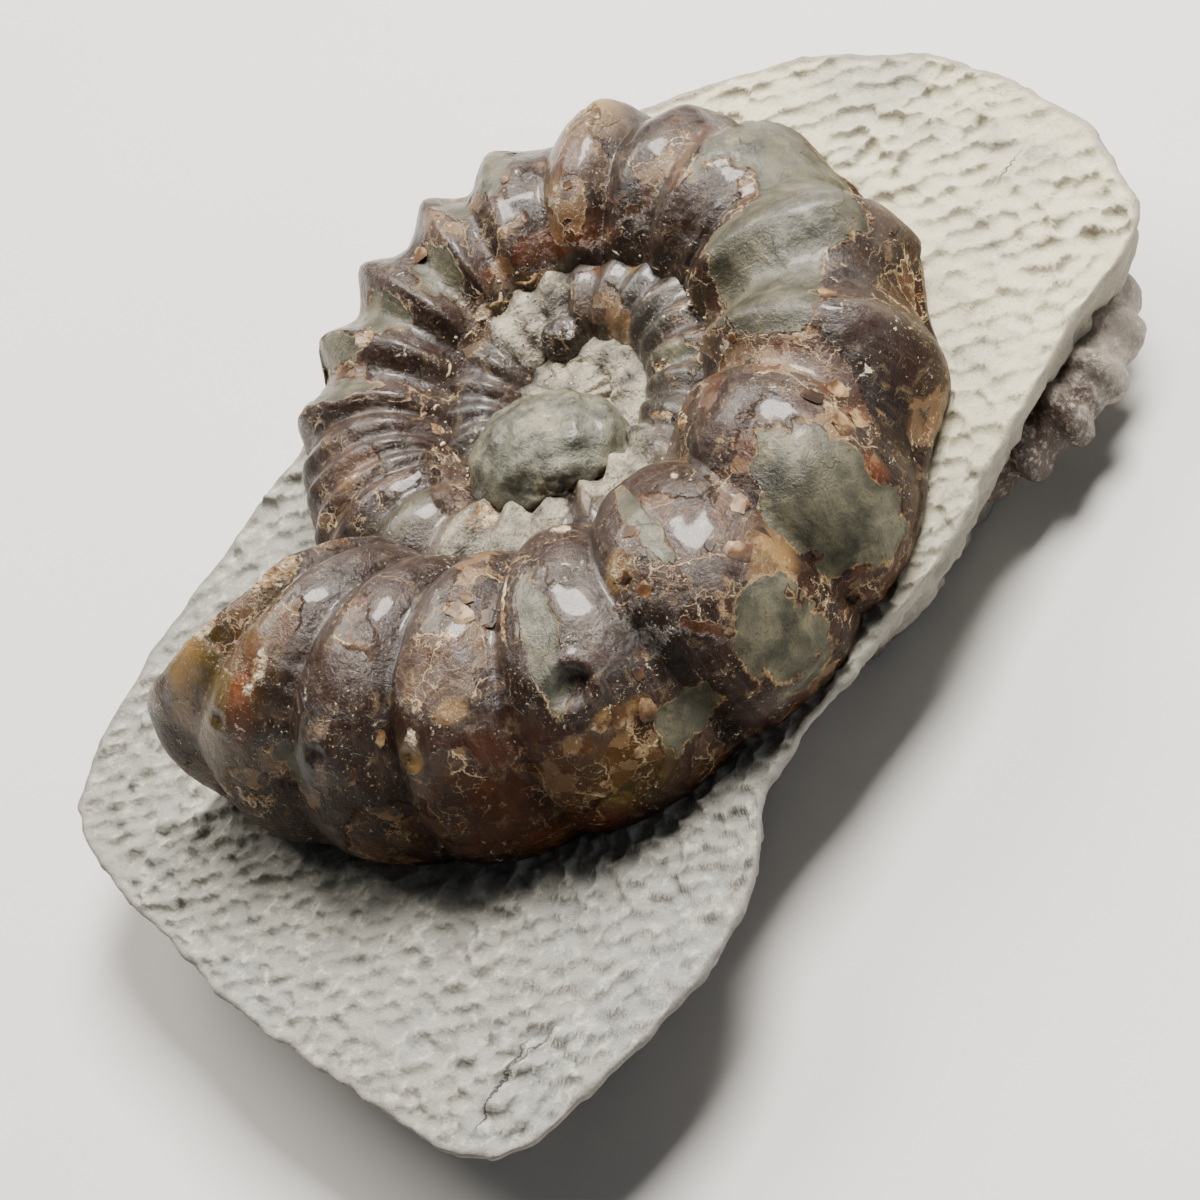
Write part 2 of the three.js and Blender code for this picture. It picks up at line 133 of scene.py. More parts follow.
STEEP_TO = 150.0
STEEP_DRAW = 0.55
STEEP_BLEND = 16.0

CAST_CENTRE = (-5.3, -4.5, 7.8)
CAST_HALF_SIZES = (6.8, 5.6, 4.8)
CAST_BEARING = -49.0

SECOND_CENTRE = (22.8, -24.8, -8.0)
SECOND_RING_RADIUS = 5.6
SECOND_TUBE_RADIUS = 3.0
SECOND_TILT = -12.0
SECOND_RIB_COUNT = 14
SECOND_RIB_HEIGHT = 0.5
SECOND_LENGTHENING = 1.3

# Camera, from a fit of the coil and the stone's rim to the photograph
CAMERA_TARGET = (-5.891, -4.608, 14.0)
CAMERA_DISTANCE = 244.4
CAMERA_TILT = 39.637
CAMERA_TURN = -12.0
CAMERA_ROLL = 43.665
CAMERA_LENS = 93.6


def linear(hex_colour, alpha=1.0):
    """An sRGB hex value as a linear colour."""
    values = []
    for k in (1, 3, 5):
        c = int(hex_colour[k:k + 2], 16) / 255.0
        values.append(c / 12.92 if c <= 0.04045 else ((c + 0.055) / 1.055) ** 2.4)
    return (*values, alpha)


def add_node(tree, kind, settings=None, **inputs):
    """A node with its settings and inputs. An input is a value, a socket, or a node whose first
    output in use is taken. A space in a socket's name is written _, and _0 is the first socket."""
    node = tree.nodes.new(kind)
    for name, value in (settings or {}).items():
        setattr(node, name, value)
    for name, value in inputs.items():
        if name[1:].isdigit():
            socket = node.inputs[int(name[1:])]
        else:
            named = [s for s in node.inputs if s.name == name.replace("_", " ")]
            socket = next((s for s in named if s.enabled), named[0])
        if isinstance(value, bpy.types.Node):
            value = next(s for s in value.outputs if s.enabled)
        if isinstance(value, bpy.types.NodeSocket):
            tree.links.new(value, socket)
        else:
            socket.default_value = value
    return node


def smoothstep(x, low, high):
    t = np.clip((x - low) / (high - low), 0.0, 1.0)
    return t * t * (3.0 - 2.0 * t)


def unevenness(x, y, z):
    """Smooth repeatable unevenness between about -1 and 1, the same as in the solids."""
    coarse = np.sin(1.31 * x + 0.7 * y + 2.1) * np.sin(0.93 * y - 0.51 * x + 1.7 * z)
    fine = np.sin(2.7 * x - 1.9 * y + 0.4) * np.sin(2.3 * y + 1.1 * x - 0.8 * z + 1.3)
    return 0.62 * coarse + 0.38 * fine


def grain(points, size, octaves=3, seed=0.0):
    """Fractal noise of about -1 to 1 at each point; size is its grain in millimetres."""
    shift = Vector((seed * 17.3, seed * 5.9, seed * 11.1))
    scaled = points.reshape(-1, 3) / size
    values = [noise.fractal(Vector(p) + shift, 0.9, 2.1, octaves) for p in scaled]
    return np.array(values).reshape(points.shape[:-1])


def plates(points, size, seed):
    """A level of 0 to 1 for each of the irregular plates, about `size` across."""
    shift = Vector((seed * 3.7, seed * 9.1, seed * 2.3))
    level = []
    for point in points.reshape(-1, 3) / size:
        point = Vector(point) + shift
        point += 0.35 * noise.noise_vector(point * 1.3)
        level.append(abs(noise.cell(noise.voronoi(point)[1][0] * 13.7)))
    return np.array(level).reshape(points.shape[:-1]) % 1.0


def mesh_object(name, points, faces, attributes=None):
    """A smooth mesh object from points in millimetres; attributes are per vertex."""
    mesh = bpy.data.meshes.new(name)
    mesh.from_pydata((np.asarray(points) * MM).tolist(), [], list(faces))
    for key, values in (attributes or {}).items():
        values = np.asarray(values, dtype=np.float32)
        kind, slot = {1: ("FLOAT", "value"), 3: ("FLOAT_VECTOR", "vector"),
                      4: ("FLOAT_COLOR", "color")}[1 if values.ndim == 1 else values.shape[1]]
        layer = mesh.attributes.new(key, kind, "POINT")
        layer.data.foreach_set(slot, values.ravel())
    mesh.shade_smooth()
    mesh.update()
    obj = bpy.data.objects.new(name, mesh)
    bpy.context.scene.collection.objects.link(obj)
    return obj


def grid_faces(rows, columns, closed=True):
    """Quads of a grid of rows by columns, with the columns joined round."""
    r = np.arange(rows - 1)[:, None]
    c = np.arange(columns if closed else columns - 1)[None, :]
    n = (c + 1) % columns
    quads = np.stack(np.broadcast_arrays(r * columns + c, r * columns + n,
                                         (r + 1) * columns + n, (r + 1) * columns + c), -1)
    return quads.reshape(-1, 4)


def finish_piece(obj, node, material):
    """Gives the piece its material, lets it ride on the stone and stand for its solid."""
    obj.data.materials.clear()
    obj.data.materials.append(material)
    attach(obj, "root")
    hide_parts(node)


# Coil


def coil_radius(back):
    """Outer radius, with the quarter turns joined smoothly."""
    logs = np.log(np.array(COIL_RADIUS))
    turns = np.clip(np.asarray(back, float) / 90.0, 0.0, len(logs) - 1.001)
    i = np.floor(turns).astype(int)
    t = turns - i
    last = len(logs) - 1
    before = np.where(i == 0, 2 * logs[0] - logs[1], logs[np.maximum(i - 1, 0)])
    here, after, beyond = logs[i], logs[np.minimum(i + 1, last)], logs[np.minimum(i + 2, last)]
    slope_here, slope_next = (after - before) / 2, (beyond - here) / 2
    t2, t3 = t * t, t * t * t
    return np.exp((2 * t3 - 3 * t2 + 1) * here + (t3 - 2 * t2 + t) * slope_here
                  + (3 * t2 - 2 * t3) * after + (t3 - t2) * slope_next)


def rib_table():
    """All ribs as an array: place, lean, height, roundness, hollowness, spine."""
    ribs = [tuple(map(float, rib)) for rib in RIBS]
    at = INNER_RIBS_FROM
    while at < COIL_END:
        radius = float(coil_radius(at))
        ribs.append((at, 0.0, INNER_RIB_HEIGHT * radius, 1.4, 1.6, INNER_SPINE_HEIGHT * radius))
        at += INNER_RIB_SPACING + INNER_RIB_WIDENING * (at - INNER_RIBS_FROM) * 0.5
    return np.array(ribs)


def section_frame(back, around):
    """Half width, half thickness and outward normal of the smooth section."""
    radius = coil_radius(back)
    half = WHORL_HALF_HEIGHT * radius
    fatness = WHORL_FATNESS_AT_MOUTH - WHORL_FATNESS_LOSS * back / 360.0
    side = np.where((around < 0) | (around > 180), LOWER_SIDE_SHARE, 1.0)
    thick = half * fatness * side
    turn = np.radians(around)
    normal = np.stack([np.cos(turn) * thick, np.sin(turn) * half], -1)
    normal /= np.linalg.norm(normal, axis=-1, keepdims=True)
    return radius, half, thick, turn, normal


def coil_points(back, around, lift):
    """Points of the coil's surface, raised by lift along the section's normal."""
    radius, half, thick, turn, normal = section_frame(back, around)
    out = radius - half + half * np.cos(turn) + lift * normal[..., 0]
    up = EQUATOR_HEIGHT + thick * np.sin(turn) + lift * normal[..., 1]
    bearing = np.radians(MOUTH_BEARING + back)
    return np.stack([COIL_AXIS[0] + out * np.cos(bearing), COIL_AXIS[1] + out * np.sin(bearing),
                     STONE_TOP + up], -1)


def coil_lift(ribs, place, around):
    """How far back a place is, and how far ribs and spines raise it."""
    i = np.minimum(np.floor(place).astype(int), len(ribs) - 2)
    share = place - i
    lean = np.clip(around, 0, 90) / 90.0
    crest = np.where(i == 0, np.interp(around, *MOUTH_EDGE), ribs[i, 0] + ribs[i, 1] * lean)
    following = ribs[i + 1, 0] + ribs[i + 1, 1] * lean
    back = crest + (following - crest) * share
    nearest = np.where(share < 0.5, i, i + 1)
    away = np.where(share < 0.5, 2 * share, 2 - 2 * share)
    away = np.sqrt(away * away + 0.0064) - 0.08 * (1 - away)
    away = np.clip(away, 0.0, 1.0)
    shape = (1.0 - away ** ribs[nearest, 3]) ** ribs[nearest, 4]
    fade = 1.0 - smoothstep(around, *WALL_FADE)
    upper = np.where((around < 0) | (around > 180), 0.5, 1.0)
    spine = ribs[nearest, 5] * np.exp(-((around - SPINE_ANGLE) / SPINE_SPREAD) ** 2)
    lift = fade * upper * (ribs[nearest, 2] * (shape - RIB_SINK)
                           + spine * np.clip(1 - 1.6 * away, 0, 1))
    return back, lift


# Named patches on the coil: degrees back from the mouth, degrees round the section, and half
# widths in the same degrees. In the bare patches the shell has flaked off its stone filling.
BARE_PATCHES = (
    (173, 46, 13, 36), (181, 62, 5, 32), (163, 94, 7, 32), (147, 97, 12, 33), (156, 66, 5, 28),
    (134, 92, 4, 26), (105, 40, 7.5, 37), (87.5, 24, 5.5, 24), (82.5, 94, 2.0, 24),
    (60.3, 74, 2.6, 27), (21.3, 41, 1.5, 8), (72, 22, 5, 8), (245, 70, 4, 26), (271, 106, 6, 22), (290, 84, 6, 26),
    (302, 66, 4, 30), (314, 80, 4, 24), (256, 66, 3, 18), (500, 100, 6, 22),
)
# Shell left standing inside the bare patches
SHELL_ISLANDS = ((175, 100, 8, 28), (144, 52, 7, 10))
TINTS = {
    "plum": "#28170f",
    "umber": "#190d06",
    "amber": "#431c02",
    "olive": "#4d3c12",
    "rust": "#632e08",
    "straw": "#87693d",
    "lilac": "#413630",
    "moss": "#3e3b2c",
    "buff": "#746a5a",
    "slate": "#2d2a25",
}
TINT_PATCHES = (
    ("slate", 545, 90, 110, 200), ("buff", 448, 104, 20, 46),
    ("amber", 49, 16, 14, 34), ("olive", 63, 17, 6, 16), ("umber", 76, 50, 6, 20),
    ("olive", 9, 64, 9, 40), ("straw", 4, 52, 2.5, 24), ("umber", 25, 44, 4, 24),
    ("umber", 32, -6, 16, 16), ("moss", 72, 20, 5, 10), ("rust", 234, 134, 30, 10),
    ("rust", 82, 132, 5, 10), ("straw", 75, 82, 3.5, 8), ("straw", 94, 46, 4, 13),
    ("straw", 46, 60, 2, 5), ("straw", 39.5, 46, 2, 7), ("lilac", 123, 84, 7, 30),
    ("lilac", 46, 88, 8, 28), ("lilac", 67.5, 84, 4.5, 26), ("umber", 120, 30, 9, 24),
    ("straw", 121, 116, 3, 7), ("lilac", 156, 28, 10, 14), ("umber", 205, 92, 9, 26),
    ("rust", 108, 146, 4, 12), ("rust", 112, 30, 2, 8), ("straw", 222, 64, 8, 24),
    ("lilac", 241, 84, 5, 24), ("lilac", 336, 84, 14, 26), ("umber", 326, 56, 7, 26),
    ("straw", 344, 80, 2.5, 10), ("straw", 227, 110, 5, 12), ("lilac", 84, 4, 8, 8),
    ("rust", 15, 60, 2, 18), ("straw", 66, 38, 4, 5), ("umber", 68, 46, 4, 9),
    ("buff", 612, 100, 26, 80), ("buff", 900, 90, 170, 200), ("umber", 690, 90, 30, 60),
    ("buff", 398, 100, 22, 60), ("moss", 366, 92, 8, 30), ("lilac", 570, 80, 14, 30),
    ("straw", 556, 76, 3, 12), ("rust", 574, 80, 2.5, 10), ("moss", 520, 80, 14, 30),
)
# White and cream crusts: the same, and how thick they lie, 0 to 1
CRUST_PATCHES = (
    (6, 104, 5, 15, 1.0), (4.5, 76, 2, 9, 0.9), (16, 70, 2, 16, 0.75), (54.5, 96, 1.3, 30, 0.85),
    (105, 122, 2.4, 8, 1.0), (93, 100, 2, 6, 0.7), (66, 124, 3, 8, 0.85), (226, 112, 6, 12, 0.7),
    (300, 92, 5, 10, 0.8), (329, 146, 4, 7, 1.0), (222, 60, 10, 26, 0.6), (40, 52, 2, 7, 0.7),
    (64, 38, 3, 5, 0.75), (76, 84, 4, 6, 0.7), (128, 118, 5, 8, 0.6), (344, 84, 3, 10, 0.7),
    (268, 146, 10, 9, 0.75), (392, 110, 8, 20, 0.7), (46, 96, 4, 8, 0.6), (12, 20, 8, 9, 0.65),
    (560, 66, 8, 10, 0.7), (536, 96, 2.5, 22, 0.75), (583, 96, 2.5, 24, 0.75),
    (497, 122, 7, 16, 0.75), (470, 100, 3, 24, 0.7), (512, 60, 5, 10, 0.7),
)
# Scars of broken spines and pits: place, section angle, radius and depth in millimetres
SCARS = ((62.2, 54, 1.5, 0.75), (39.5, 46, 1.0, 0.4), (27, 48, 0.9, 0.3), (12, 50, 0.8, 0.3))


def patch_reach(patch, back, around):
    """Distance from the middle of a patch, 1 at its edge."""
    return np.hypot((back - patch[0]) / patch[2], (around - patch[1]) / patch[3])


def patch_depth(patches, back, around):
    """Depth inside the nearest patch, in millimetres, negative outside all of them."""
    radius = coil_radius(back)
    best = np.full(back.shape, -30.0)
    for patch in patches:
        size = 0.5 * (np.radians(patch[2]) * radius * 0.85 + np.radians(patch[3]) * radius * 0.33)
        best = np.maximum(best, (1.0 - patch_reach(patch, back, around)) * size)
    return best


def shell_tint(back, around, lift):
    """Base colour of the shell, blended from the named patches, with painted shade between the ribs and a slight
    painted highlight on their crests.
    """
    colour = np.zeros(back.shape + (4,))
    colour[...] = linear(TINTS["plum"])
    for name, *patch in TINT_PATCHES:
        weight = (1.0 - smoothstep(patch_reach(patch, back, around), 0.45, 1.25))[..., None]
        colour = colour * (1 - weight) + np.array(linear(TINTS[name])) * weight
    # Painted shade: darker in the furrows between the ribs; painted highlight: slightly lighter on the crests
    hollow = smoothstep(-lift / (0.05 * coil_radius(back)), -0.4, 0.7)
    colour[..., :3] *= (1.15 - 0.6 * hollow)[..., None]
    return colour


def crust_amount(back, around):
    """How thick the crust lies, from its patches and along the wall of the coil."""
    amount = 0.62 * smoothstep(around, 138, 160) * (1 - smoothstep(around, 176, 190))
    for *patch, thickness in CRUST_PATCHES:
        weight = 1.0 - smoothstep(patch_reach(patch, back, around), 0.3, 1.3)
        amount = np.maximum(amount, thickness * weight)
    return amount


def ring_places(ribs, spacing):
    """Places of the mesh rings, about `spacing` millimetres apart along the outer flank."""
    places = []
    for i in range(len(ribs) - 1):
        length = math.radians(ribs[i + 1, 0] - ribs[i, 0]) * float(coil_radius(ribs[i, 0])) * 0.85
        count = max(4, round(length / spacing))
        places.extend(i + k / count for k in range(count))
    places.append(len(ribs) - 1)
    return np.array(places)


def section_angles(fine, coarse):
    """Section angles: fine over what stands out of the stone, coarse below it."""
    upper = np.linspace(-24, 180, fine, endpoint=False)
    lower = np.linspace(180, 336, coarse, endpoint=False)
    return np.concatenate([upper, lower - np.where(lower > 180, 360, 0)])


def mouth_rings(rim):
    """Rings from the rim of the broken mouth down into its hollow, rough with stone filling."""
    centre = rim.mean(0)
    axis = np.array((COIL_AXIS[0], COIL_AXIS[1], 0))
    rings = []
    for share in np.linspace(0, 1, 26)[1:]:
        size = 1 - 0.985 * share
        depth = math.radians(MOUTH_HOLLOW) * smoothstep(share, 0.0, 1 - MOUTH_HOLLOW_SIZE)
        ring = centre + (rim - centre) * size - axis
        turn = depth + 0.012 * grain(ring, 3.0, 4, 21.0) * min(1, 6 * share)
        x = ring[:, 0] * np.cos(turn) - ring[:, 1] * np.sin(turn)
        y = ring[:, 0] * np.sin(turn) + ring[:, 1] * np.cos(turn)
        rings.append(np.stack([x, y, ring[:, 2]], -1) + axis)
    return np.array(rings[::-1])


def coil_sweep(spacing, fine, coarse):
    """Points, faces and surface attributes of the whole coil, closed at both ends."""
    ribs = rib_table()
    place, angle = np.meshgrid(ring_places(ribs, spacing), section_angles(fine, coarse),
                               indexing="ij")
    back, lift = coil_lift(ribs, place, angle)
    smooth = coil_points(back, angle, lift)
    tint = shell_tint(back, angle, lift)

    rough = grain(smooth, 5.0, 3, 1.0)
    fine_rough = grain(smooth, 1.6, 2, 2.0)
    level = plates(smooth, 3.4, 5.0)
    small_level = plates(smooth, 1.5, 8.0)
    bare = np.minimum(patch_depth(BARE_PATCHES, back, angle),
                      -patch_depth(SHELL_ISLANDS, back, angle))
    bare = bare + 1.5 * (level - 0.5) + 0.9 * (small_level - 0.5) + 0.5 * fine_rough
    crust = crust_amount(back, angle)
    upper = smoothstep(angle, -60, -10) * (1 - smoothstep(angle, 150, 185))
    outer = 1 - smoothstep(back, 365, 420)
    shell = 1.0 - smoothstep(bare, -0.2, 0.2)
    flaked = smoothstep(grain(smooth, 8.0, 2, 9.0), -0.3, 0.3) * shell
    lift = lift + upper * (outer * 0.22 * rough + 0.06 * fine_rough + 0.26 * shell - 0.14
                           - 0.14 * flaked * outer)
    crusty = smoothstep(crust, 0.4, 0.75)
    lift = lift + upper * crusty * (0.1 + 0.22 * grain(smooth, 0.8, 3, 14.0))
    worn = np.maximum(smoothstep(back, 700, 780), 0.9 * (1 - smoothstep(
        patch_reach((612, 110, 30, 80), back, angle), 0.5, 1.1)))
    for patch in ((402, 105, 24, 70), (448, 112, 22, 38)):
        worn = np.maximum(worn, 1 - smoothstep(patch_reach(patch, back, angle), 0.6, 1.1))
    lift = lift + worn * upper * (0.3 * grain(smooth, 1.5, 4, 15.0) - 0.05)
    radius = coil_radius(back)
    for scar in SCARS:
        span = np.hypot(np.radians(back - scar[0]) * radius * 0.85,
                        np.radians(angle - scar[1]) * radius * 0.33)
        lift = lift - scar[3] * (1 - smoothstep(span, 0.55 * scar[2], scar[2]))
        lift = lift + 0.4 * scar[3] * np.exp(-((span - 1.25 * scar[2]) / (0.3 * scar[2])) ** 2)
    points = coil_points(back, angle, lift)

    mouth = mouth_rings(points[0])
    extra = len(mouth)
    points = np.concatenate([mouth, points])
    rows, columns = points.shape[:2]
    faces = grid_faces(rows, columns).tolist()
    ends = [points[0].mean(0), points[-1].mean(0)]
    for row, hub, flip in ((0, rows * columns, 1), (rows - 1, rows * columns + 1, 0)):
        for j in range(columns):
            a, b = row * columns + j, row * columns + (j + 1) % columns
            faces.append((hub, b, a) if flip else (hub, a, b))
    flat = np.concatenate([points.reshape(-1, 3), np.array(ends)])
    lines = np.stack([np.radians(back) * radius * 0.8, np.radians(angle) * radius * 0.33,
                      back / 360.0], -1)
    values = {"bare": bare, "tint": tint, "whorl": lines, "crust": crust,
              "filling": worn, "chipped": flaked, "polished": smoothstep(angle, 24, 66)}
    filled = {"bare": 3.0, "crust": 0.0, "filling": 0.25, "chipped": 0.0, "polished": 0.5}
    attributes = {}
    for name, value in values.items():
        head = np.repeat(value[:1], extra, axis=0)
        if name in filled:
            head[:-2] = filled[name]
        flat_value = np.concatenate([head, value]).reshape(rows * columns, *value.shape[2:])
        attributes[name] = np.concatenate([flat_value, flat_value[:1], flat_value[-1:]])
    return flat, faces, attributes


def lumpy_ball(subdivisions, centre, half_sizes, roughening, size, seed, ribs=0):
    """Points and faces of a ball, roughened by fractal noise and ribbed round the coil's axis."""
    shape = bmesh.new()
    bmesh.ops.create_icosphere(shape, subdivisions=subdivisions, radius=1.0)
    points = np.array([v.co[:] for v in shape.verts])
    faces = [[v.index for v in f.verts] for f in shape.faces]
    shape.free()
    placed = points * np.array(half_sizes)
    bump = 1 + roughening * grain(placed, size, 4, seed)
    if ribs:
        bearing = np.arctan2(placed[:, 1] + centre[1], placed[:, 0] + centre[0])
        bump = bump + 0.09 * np.cos(ribs * bearing) * smoothstep(np.hypot(*placed.T[:2]), 1, 3)
    at = np.array((COIL_AXIS[0] + centre[0], COIL_AXIS[1] + centre[1], STONE_TOP + centre[2]))
    return placed * bump[:, None] + at, faces


def build_coil(settings):
    """The coil with the crumbled filling over its innermost whorls and the nodule beside it."""
    points, faces, attributes = coil_sweep(settings.ring_spacing / MM, 104, 12)
    extras = (
        (lumpy_ball(6, FILLING_CENTRE, FILLING_HALF_SIZES, 0.07, 1.4, 31.0, 18), "buff", 1.0, 0.5),
        (lumpy_ball(5, NODULE_CENTRE, (NODULE_RADIUS,) * 3, 0.13, 1.1, 33.0), "umber", 0.0, 0.3),
    )
    for (more, triangles), tint, filling, crust in extras:
        faces.extend([index + len(points) for index in face] for face in triangles)
        count = len(more)
        points = np.concatenate([points, more])
        added = {"bare": np.full(count, -9.0), "tint": np.tile(linear(TINTS[tint]), (count, 1)),
                 "whorl": more, "crust": np.full(count, crust),
                 "filling": np.full(count, filling), "chipped": np.zeros(count),
                 "polished": np.ones(count)}
        attributes = {key: np.concatenate([values, added[key]])
                      for key, values in attributes.items()}
    return mesh_object("ammonite_coil", points, faces, attributes)


# Stone


def rim_reach(bearing):
    """Distance from the hub to the straight-sided rim at one bearing."""
    dx, dy = math.cos(bearing), math.sin(bearing)
    corners = [(x - STONE_HUB[0], y - STONE_HUB[1]) for x, y in STONE_RIM]
    for (ax, ay), (bx, by) in zip(corners, corners[1:] + corners[:1]):
        det = dx * (ay - by) - dy * (ax - bx)
        if abs(det) < 1e-9:
            continue
        reach = (ax * (ay - by) - ay * (ax - bx)) / det
        along = (dx * ay - dy * ax) / det
        if reach > 0 and -1e-9 <= along <= 1 + 1e-9:
            return reach
    return 0.0


def soften(values, width):
    """A closed row of values averaged over its neighbours."""
    kernel = np.hanning(2 * width + 3)[1:-1]
    kernel /= kernel.sum()
    around = np.concatenate([values[-width:], values, values[:width]])
    return np.convolve(around, kernel, mode="valid")


def side_draw(bearing):
    """How far the side is drawn in at a bearing: 1 is most."""
    degrees = np.degrees(np.arctan2(np.sin(bearing), np.cos(bearing)))
    rise = smoothstep(degrees, STEEP_FROM - STEEP_BLEND, STEEP_FROM + STEEP_BLEND)
    fall = smoothstep(degrees, STEEP_TO - STEEP_BLEND, STEEP_TO + STEEP_BLEND)
    return 1 - (1 - STEEP_DRAW) * rise * (1 - fall)


# Tool strokes on the prepared face run this way, downhill from each stroke's steep end
STROKE_DIRECTION = (-0.747, -0.665)


def tool_marks(xy, pitch, depth, seed):
    """Overlapping scoops, each with a steep end: height, and how far up a steep end each point
    lies, which darkens the stone's colour as painted shade."""
    random = np.random.default_rng(seed)
    along = np.array(STROKE_DIRECTION)
    across = np.array((-along[1], along[0]))
    low, high = xy.min(0) - pitch, xy.max(0) + pitch
    steps = np.arange(-75, 75, pitch)
    grid = np.stack(np.meshgrid(steps * 0.9, steps, indexing="ij"), -1)
    grid[1::2, :, 1] += 0.5 * pitch
    grid = grid.reshape(-1, 2) + random.uniform(-0.3, 0.3, (grid.size // 2, 2)) * pitch
    height = np.full(len(xy), 0.5)
    wall = np.zeros(len(xy))
    order = np.argsort(xy[:, 0])
    columns = xy[order, 0]
    for centre in grid[:, :1] * along + grid[:, 1:] * across:
        if (centre < low).any() or (centre > high).any():
            continue
        first, last = np.searchsorted(columns, (centre[0] - 1.5 * pitch, centre[0] + 1.5 * pitch))
        near = order[first:last]
        near = near[np.abs(xy[near, 1] - centre[1]) < 1.5 * pitch]
        turn = random.normal(0, 0.35)
        ahead = along * math.cos(turn) + across * math.sin(turn)
        rel = (xy[near] - centre) / (pitch * random.uniform(0.62, 0.82))
        run = rel @ ahead
        side = rel @ np.array((-ahead[1], ahead[0]))
        span = run ** 2 + 0.8 * side ** 2
        bowl = random.uniform(-0.1, 0.1) + 0.8 * span ** 2 + 0.5 * run
        lower = bowl < height[near]
        height[near[lower]] = bowl[lower]
        steep = smoothstep(span, 0.35, 1.0) * smoothstep(-run, 0.1, 0.6)
        wall[near[lower]] = steep[lower]
    return (height - 0.2) * depth, wall


def build_stone(settings):
    sectors = settings.sectors
    bearing = np.linspace(0, 2 * math.pi, sectors, endpoint=False)
    rim = soften(np.array([rim_reach(b) for b in bearing]), sectors // 130)
    ring = np.stack([rim * np.cos(bearing), rim * np.sin(bearing), 0 * rim], -1)
    rim = rim + 0.4 * grain(ring, 5.0, 3, 3.0) + 0.14 * grain(ring, 1.3, 2, 4.0) - 0.2
    # Few rows under the coil, and close ones from its foot to the rim
    foot = coil_radius(np.arange(0, 361, 3))
    turned = np.radians(MOUTH_BEARING + np.arange(0, 361, 3))
    foot = np.stack([foot * np.cos(turned) - STONE_HUB[0], foot * np.sin(turned) - STONE_HUB[1]])
    inner = np.interp(bearing, np.arctan2(foot[1], foot[0]), np.hypot(*foot), period=2 * math.pi)
    inner = np.min([np.roll(inner, k) for k in range(-20, 21, 4)], axis=0)
    inner = np.clip(soften(inner - 4.0, 12), 8.0, 0.9 * rim)
    rows = [(share * inner, 0.0) for share in (0.05, 0.3, 0.6, 0.85)]
    rows += [(inner + (0.994 * rim - inner) * share, 0.0) for share in np.linspace(0, 1, 74)]
    drops = [0.0] * len(rows)
    profile_drop = np.array([d for d, _ in SIDE_PROFILE])
    profile_in = np.array([i for _, i in SIDE_PROFILE])
    draw = side_draw(bearing)
    for drop in np.concatenate([[0.12, 0.35, 0.65], np.linspace(1.0, 13.4, 20), [13.8, 14.0]]):
        inset = np.interp(drop, profile_drop, profile_in)
        deepest = LARGEST_DRAW * rim * drop / STONE_TOP
        drawn = np.minimum(inset * draw, deepest) if inset > 0 else np.full(sectors, inset)
        rows.append((rim - drawn, drop))
        drops.append(drop)
    for share in (0.9, 0.6, 0.3, 0.05):
        rows.append((rows[len(drops) - 1][0] * share, STONE_TOP))
    points = np.stack([
        np.stack([STONE_HUB[0] + reach * np.cos(bearing), STONE_HUB[1] + reach * np.sin(bearing),
                  np.full(sectors, -drop)], -1) for reach, drop in rows])
    top = sum(drop == 0 for drop in drops)
    flat = points[:top]
    flat[..., 2] = 0.24 * unevenness(flat[..., 0], flat[..., 1], 0.0)
    reach = np.array([row[0] for row in rows[:top]]) / rim
    edge = 1 - smoothstep(reach, 0.986, 0.999)
    # The strokes are large and crisp at the far end, small and faint towards the mouth
    crisp = smoothstep(flat[..., 0] + 0.6 * flat[..., 1], -34, 6)
    # Painted shade: how far up the steep end of a stroke each point lies, kept to darken the colour there
    marks, stroke_shade_top = 0.0, 0.0
    for size, share, depth in ((1.0, crisp, 1.0), (0.75, 1 - crisp, 0.95)):
        height, wall = tool_marks(flat[..., :2].reshape(-1, 2), size * settings.mark_pitch / MM,
                                  depth * settings.mark_depth / MM, settings.seed)
        marks = marks + share * height.reshape(flat.shape[:2])
        stroke_shade_top = stroke_shade_top + share * depth * wall.reshape(flat.shape[:2])
    swell = np.clip(0.9 + 0.5 * grain(flat, 12.0, 2, 6.0), 0.45, 1.2) * edge
    flat[..., 2] += marks * swell + 0.05 * grain(flat, 0.8, 2, 7.0) - 0.2 * (1 - edge) ** 2
    cavity = np.zeros(points.shape[:2])
    cavity[:top] = stroke_shade_top * swell

    side = points[top:top + len(drops) - top]
    depth = -side[..., 2]
    amount = np.clip(depth / 3, 0, 1) * np.where(depth < STONE_TOP, 1.0, 0.6)
    bump = 0.8 * unevenness(0.6 * side[..., 0], 0.6 * side[..., 1], side[..., 2])
    bump = bump + 1.3 * (0.25 - np.abs(grain(side, 5.0, 4, 8.0)))
    outward = np.stack([np.cos(bearing), np.sin(bearing)], -1)
    side[..., :2] += (bump * amount)[..., None] * outward
    points[..., 2] = np.maximum(points[..., 2], -STONE_TOP)

    world = points + np.array((COIL_AXIS[0], COIL_AXIS[1], STONE_TOP))
    faces = grid_faces(len(points), sectors)[:, ::-1].tolist()
    flat_points = world.reshape(-1, 3)
    hubs = np.array([world[0].mean(0), world[-1].mean(0)])
    count = len(flat_points)
    last = (len(points) - 1) * sectors
    for j in range(sectors):
        n = (j + 1) % sectors
        faces.append((count, j, n))
        faces.append((count + 1, last + n, last + j))
    flat_points = np.concatenate([flat_points, hubs])
    tooled = np.zeros(points.shape[:2])
    tooled[:top] = edge
    attributes = {"cavity": np.append(cavity.reshape(-1), [0, 0]),
                  "tooled": np.append(tooled.reshape(-1), [1, 0])}
    return mesh_object("limestone_block", flat_points, faces, attributes)


# Cast in the umbilicus


